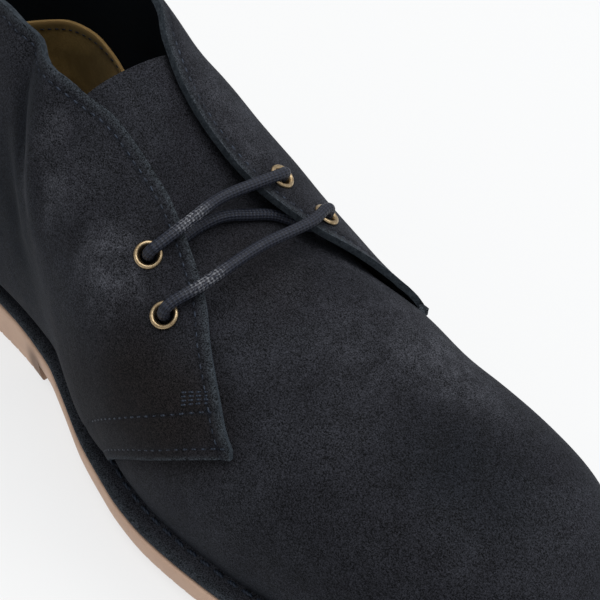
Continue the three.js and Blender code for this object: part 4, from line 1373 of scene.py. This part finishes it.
# painted highlight: paler strands where the two bars crest by the outer facing
crest_highlight = 0.0
for centre in ((150, -11, 98), (166, -19, 90)):
    crest_highlight = lace_finish.spot(lace_finish.place(), to_model(*centre), (6, 6, 5), 0.7) + crest_highlight
cord_colour = lace_finish.blend((crest_highlight * wisp.ramp(0.42, 0.6) * strand).clamp(), cord_colour, (0.20, 0.205, 0.225))
lace_finish.set(Base_Color=cord_colour, Roughness=(0.52 - wax * 0.22) + wisp * 0.1,
                Normal=lace_finish.bump(strand + wisp * 0.5, 0.22, 0.9))
paint(lace, lace_finish)
ready(lace, "lace_cord", "lace")

# %% [markdown]
# ## Inside the boot
# The suede is unlined except at the heel, where a crescent of tan split lining is stitched in
# against wear, and a tan footbed covers the sole. Both follow the last like everything else: the
# lining is one more sheet, laid just inside the quarters with the same creases, and the footbed
# a stack of loops with a rounded edge.

# %% Counter lining
tan_finish = Finish("tan_split_lining", Sheen_Weight=0.15, Sheen_Tint=(1, 0.85, 0.6, 1), Specular_IOR_Level=0.15)
where = tan_finish.place()
cloud = tan_finish.noise(where, 16, 4, 0.6, 0.5)
fibre = tan_finish.noise(where, 0.7, 3, 0.7)
tan_colour = tan_finish.blend(cloud.ramp(0.3, 0.7), (0.15, 0.105, 0.034), (0.32, 0.225, 0.080))
tan_colour = tan_finish.blend(fibre.ramp(0.35, 0.8) * 0.5, tan_colour, (0.12, 0.070, 0.022))
tan_edge = tan_finish.node("ShaderNodeAttribute", {"attribute_name": "worn"}, output="Fac")
tan_colour = tan_finish.blend(tan_edge, tan_colour, (0.50, 0.32, 0.125))
tan_seam = tan_finish.node("ShaderNodeAttribute", {"attribute_name": "sewn"}, output="Fac")
tan_colour = tan_finish.blend((tan_seam * 0.7).clamp(), tan_colour, (0.05, 0.030, 0.012))
tan_finish.set(Base_Color=tan_colour, Roughness=0.82 + cloud * 0.12, Normal=tan_finish.bump(fibre + cloud, 0.14, 0.8))

LINING_TOP = table("x z", (9, 88), (24, 92), (38, 95), (48, 94), (58, 90), (67, 83.5))
LINING_FRONT = table("share x z", (0, 108, 17.5), (0.35, 104, 40), (0.7, 87, 64), (1, 67, 83.5))
LINING = 1.1
lining_top = curve(LINING_TOP, "x", "z")
front_x, front_z = curve(LINING_FRONT, "share", "x"), curve(LINING_FRONT, "share", "z")
LINING_COLUMNS = 70
t = np.arange(LINING_COLUMNS + 1) / LINING_COLUMNS
s = 1 - (np.cos(np.pi * t) + 1) / 4 - np.cos(np.pi / 2 * t) / 2
v = np.linspace(0, 1, 46)
low_z, high_z = float(seat_at(HEEL_POINT)) + 1.5, float(lining_top(9))


def lining_heel(v):
    z = mix(low_z, high_z, v)
    return side_places(heel_back_at(z), z)


def lining_low(s):
    x = mix(float(heel_back_at(low_z)), float(front_x(0.0)), s)
    return side_places(x, mix(low_z, float(front_z(0.0)), s))


def lining_high(s):
    x = mix(float(heel_back_at(high_z)), float(front_x(1.0)), s)
    return side_places(x, lining_top(x))


lining_view = patch(lining_heel, lambda v: side_places(front_x(v), front_z(v)), lining_low, lining_high, s, v)
places = both_sides(lining_view)
lining = grid_piece("counter_lining", places)
points, slopes = points_of(lining), slopes_of(lining)
x, z = points[:, 0], points[:, 2]
side = np.where(points[:, 1] < axis_at(x), -1, 1)
rise = np.maximum(z - seat_at(x), 0)
offset = -LINING - 0.2 - BASE_TUCK * bell(rise, BASE_TUCK_RISE) - crease_depth(points, side)
offset += 0.35 * waves(points, 46, 3) * smooth(4, 18, rise) - 0.35
to_edge = nearest(points, places[-1][::2])[0]
offset -= 0.25 * bell(to_edge - 2.6, 0.8)
mark(lining, "worn", bell(to_edge, 1.1))
mark(lining, "sewn", bell(to_edge - 2.6, 1.1))
points = points + slopes * offset[:, None]
set_points(lining, points)
slopes = slopes_of(lining)
lining_shape = places.shape[:2]
inner_face = points.reshape(*lining_shape, 3)
inner_slope = -slopes.reshape(*lining_shape, 3)
finish_sheet(lining, LINING, 0.25, (tan_finish, tan_finish, tan_finish))
ready(lining, "insole_leather")

run = np.linalg.norm(inner_face - inner_face[-1], axis=2)
line = []
slopes = []
for j in range(1, lining_shape[1] - 1):
    k = int(np.argmax(run[::-1, j] > 2.6))
    line.append(inner_face[::-1][k, j])
    slopes.append(inner_slope[::-1][k, j])
thread_piece("lining_stitches", [(np.array(line), np.array(slopes))], 3.0, 2.3, 0.6, 0.3, 5)

# %% Footbed
FOOTBED_INSET = 3.3
footbed_finish = Finish("tan_footbed", Specular_IOR_Level=0.3)
where = footbed_finish.place()
grain = footbed_finish.noise(where, 0.9, 4, 0.65)
patina = footbed_finish.noise(where, 30, 4, 0.55).ramp(0.3, 0.75)
footbed_finish.set(Base_Color=footbed_finish.blend(patina, (0.34, 0.215, 0.10), (0.25, 0.145, 0.058)),
                   Roughness=0.55 + grain * 0.2, Normal=footbed_finish.bump(grain, 0.1, 0.6))


def capped(piece, count, loops):
    """Closes the first and last loop of a ring piece with rungs from side to side."""
    mesh = piece.data
    points = [tuple(v.co) for v in mesh.vertices]
    faces = [tuple(p.vertices) for p in mesh.polygons]
    top = (loops - 1) * count
    for i in range(count // 2):
        a, b = (count - i) % count, (count - i - 1) % count
        faces.append((top + i, top + i + 1, top + b, top + a) if i else (top, top + 1, top + b))
        faces.append((a, b, i + 1, i) if i else (0, b, 1))
    faces = [tuple(dict.fromkeys(face)) for face in faces]
    mesh.clear_geometry()
    mesh.from_pydata(points, [], [face for face in faces if len(face) > 2])
    make_outwards(piece)
    return piece


def stack_piece(name, steps, levels):
    """A closed solid through loops given by their reach and height functions."""
    loops = [outline(steps, reach, height) for reach, height in levels]
    return capped(ring_piece(name, loops, closed=False), steps, len(loops))


footbed = stack_piece("footbed", 256, [
    (-FOOTBED_INSET, lambda x: sole_at(x) + 0.3), (-FOOTBED_INSET, lambda x: sole_at(x) + 2.4),
    (-FOOTBED_INSET - 0.3, lambda x: sole_at(x) + 3.0), (-FOOTBED_INSET - 1.0, lambda x: sole_at(x) + 3.3),
])
paint(footbed, footbed_finish)
activate(footbed)
bpy.ops.object.shade_smooth_by_angle(angle=math.radians(40))
ready(footbed, "insole_leather", "insole")

# %% [markdown]
# ## Sole
# The sole is one moulding in tan crepe-coloured rubber, with a low heel, a little arch and a spring
# under the toe. Loops of the outline at rising heights make the forefoot sole and the heel block,
# a boolean joins them at the breast, and a second one cuts the fine tread across the bottom, whose
# ends show as small notches in the lower edge. The moulded wall is matt and slightly cloudy, with
# painted shade on the heel breast, and its upper rim is thin and rounded.

# %% Sole moulding
HEEL_BREAST = 91
SOLE_WALL = 10
SOLE_DRAFT = 1.2
TREAD_PITCH = 5.5
TREAD_WIDTH = 1.5
TREAD_DEPTH = 1.2


def edge_at(x):
    return reach_at(x) + RIM


def floor_at(x):
    return np.maximum(sole_at(x) - SOLE_WALL, 0)


sole = stack_piece("sole", 360, [
    (lambda x: edge_at(x) - SOLE_DRAFT - 0.5, floor_at),
    (lambda x: edge_at(x) - SOLE_DRAFT, lambda x: floor_at(x) + 0.5),
    (lambda x: edge_at(x) - 0.55, lambda x: floor_at(x) + 2.6),
    (lambda x: edge_at(x) - 0.15, lambda x: sole_at(x) - 4),
    (lambda x: edge_at(x), lambda x: sole_at(x) - 1.3),
    (lambda x: edge_at(x) - 0.12, lambda x: sole_at(x) - 0.55),
    (lambda x: edge_at(x) - 0.5, lambda x: sole_at(x) - 0.12),
    (lambda x: edge_at(x) - 1.1, sole_at),
])
heel = stack_piece("heel_block", 360, [
    (lambda x: edge_at(x) - SOLE_DRAFT - 0.5, lambda x: 0 * x),
    (lambda x: edge_at(x) - SOLE_DRAFT, lambda x: 0 * x + 0.5),
    (lambda x: edge_at(x) - 0.6, lambda x: 0 * x + 4),
    (lambda x: edge_at(x) - 0.2, lambda x: sole_at(x) - 3.2),
])


def block(x, y, z, length, width, height):
    bpy.ops.object.select_all(action="DESELECT")
    bpy.ops.mesh.primitive_cube_add(size=1, location=tuple((np.array([x, y, z]) - MIDDLE) * MM),
                                    scale=(length * MM, width * MM, height * MM))
    bpy.ops.object.transform_apply(location=True, rotation=True, scale=True)
    return bpy.context.object


def join(pieces):
    activate(pieces[0])
    for piece in pieces:
        piece.select_set(True)
    bpy.ops.object.join()
    return bpy.context.object


ahead_of_breast = block(HEEL_BREAST + 150, 0, 20, 300, 200, 80)
apply_modifier(heel, "BOOLEAN", operation="DIFFERENCE", object=ahead_of_breast, solver="EXACT")
bpy.data.objects.remove(ahead_of_breast)
apply_modifier(sole, "BOOLEAN", operation="UNION", object=heel, solver="EXACT")
bpy.data.objects.remove(heel)
grooves = []
for k in range(52):
    x = 12 + k * TREAD_PITCH
    if abs(x - HEEL_BREAST) > 5 and x < 287:
        level = 0 if x < HEEL_BREAST else float(floor_at(x))
        grooves.append(block(x, 0, level, TREAD_WIDTH, 200, 2 * TREAD_DEPTH))
cutter = join(grooves)
apply_modifier(sole, "BOOLEAN", operation="DIFFERENCE", object=cutter, solver="EXACT")
bpy.data.objects.remove(cutter)

sole_finish = Finish("tan_rubber", Specular_IOR_Level=0.3, Subsurface_Weight=0.0)
where = sole_finish.place()
cloud = sole_finish.noise(where, 12, 4, 0.6, 0.4).ramp(0.3, 0.7)
speck = sole_finish.noise(where, 0.9, 3, 0.7)
pore = sole_finish.noise(where, 0.35, 2, 0.6)
wall = sole_finish.blend(cloud, (0.50, 0.335, 0.245), (0.56, 0.385, 0.285))
wall = sole_finish.blend(speck.ramp(0.62, 0.8) * 0.35, wall, (0.36, 0.225, 0.15))
# painted shade: the heel breast and the wall beside it, on the outer side, in darker brown
breast_shade = sole_finish.spot(where, to_model(HEEL_BREAST - 2, -38, 6), (6, 14, 8), 0.5)
wall = sole_finish.blend((breast_shade * 0.85).clamp(), wall, (0.16, 0.095, 0.062))
sole_finish.set(Base_Color=wall, Roughness=0.62 + cloud * 0.15,
                Normal=sole_finish.bump(speck * 0.6 + pore * 0.6, 0.07, 0.7))
paint(sole, sole_finish)
activate(sole)
bpy.ops.object.shade_smooth_by_angle(angle=math.radians(35))
ready(sole, "sole_rubber", "outsole")
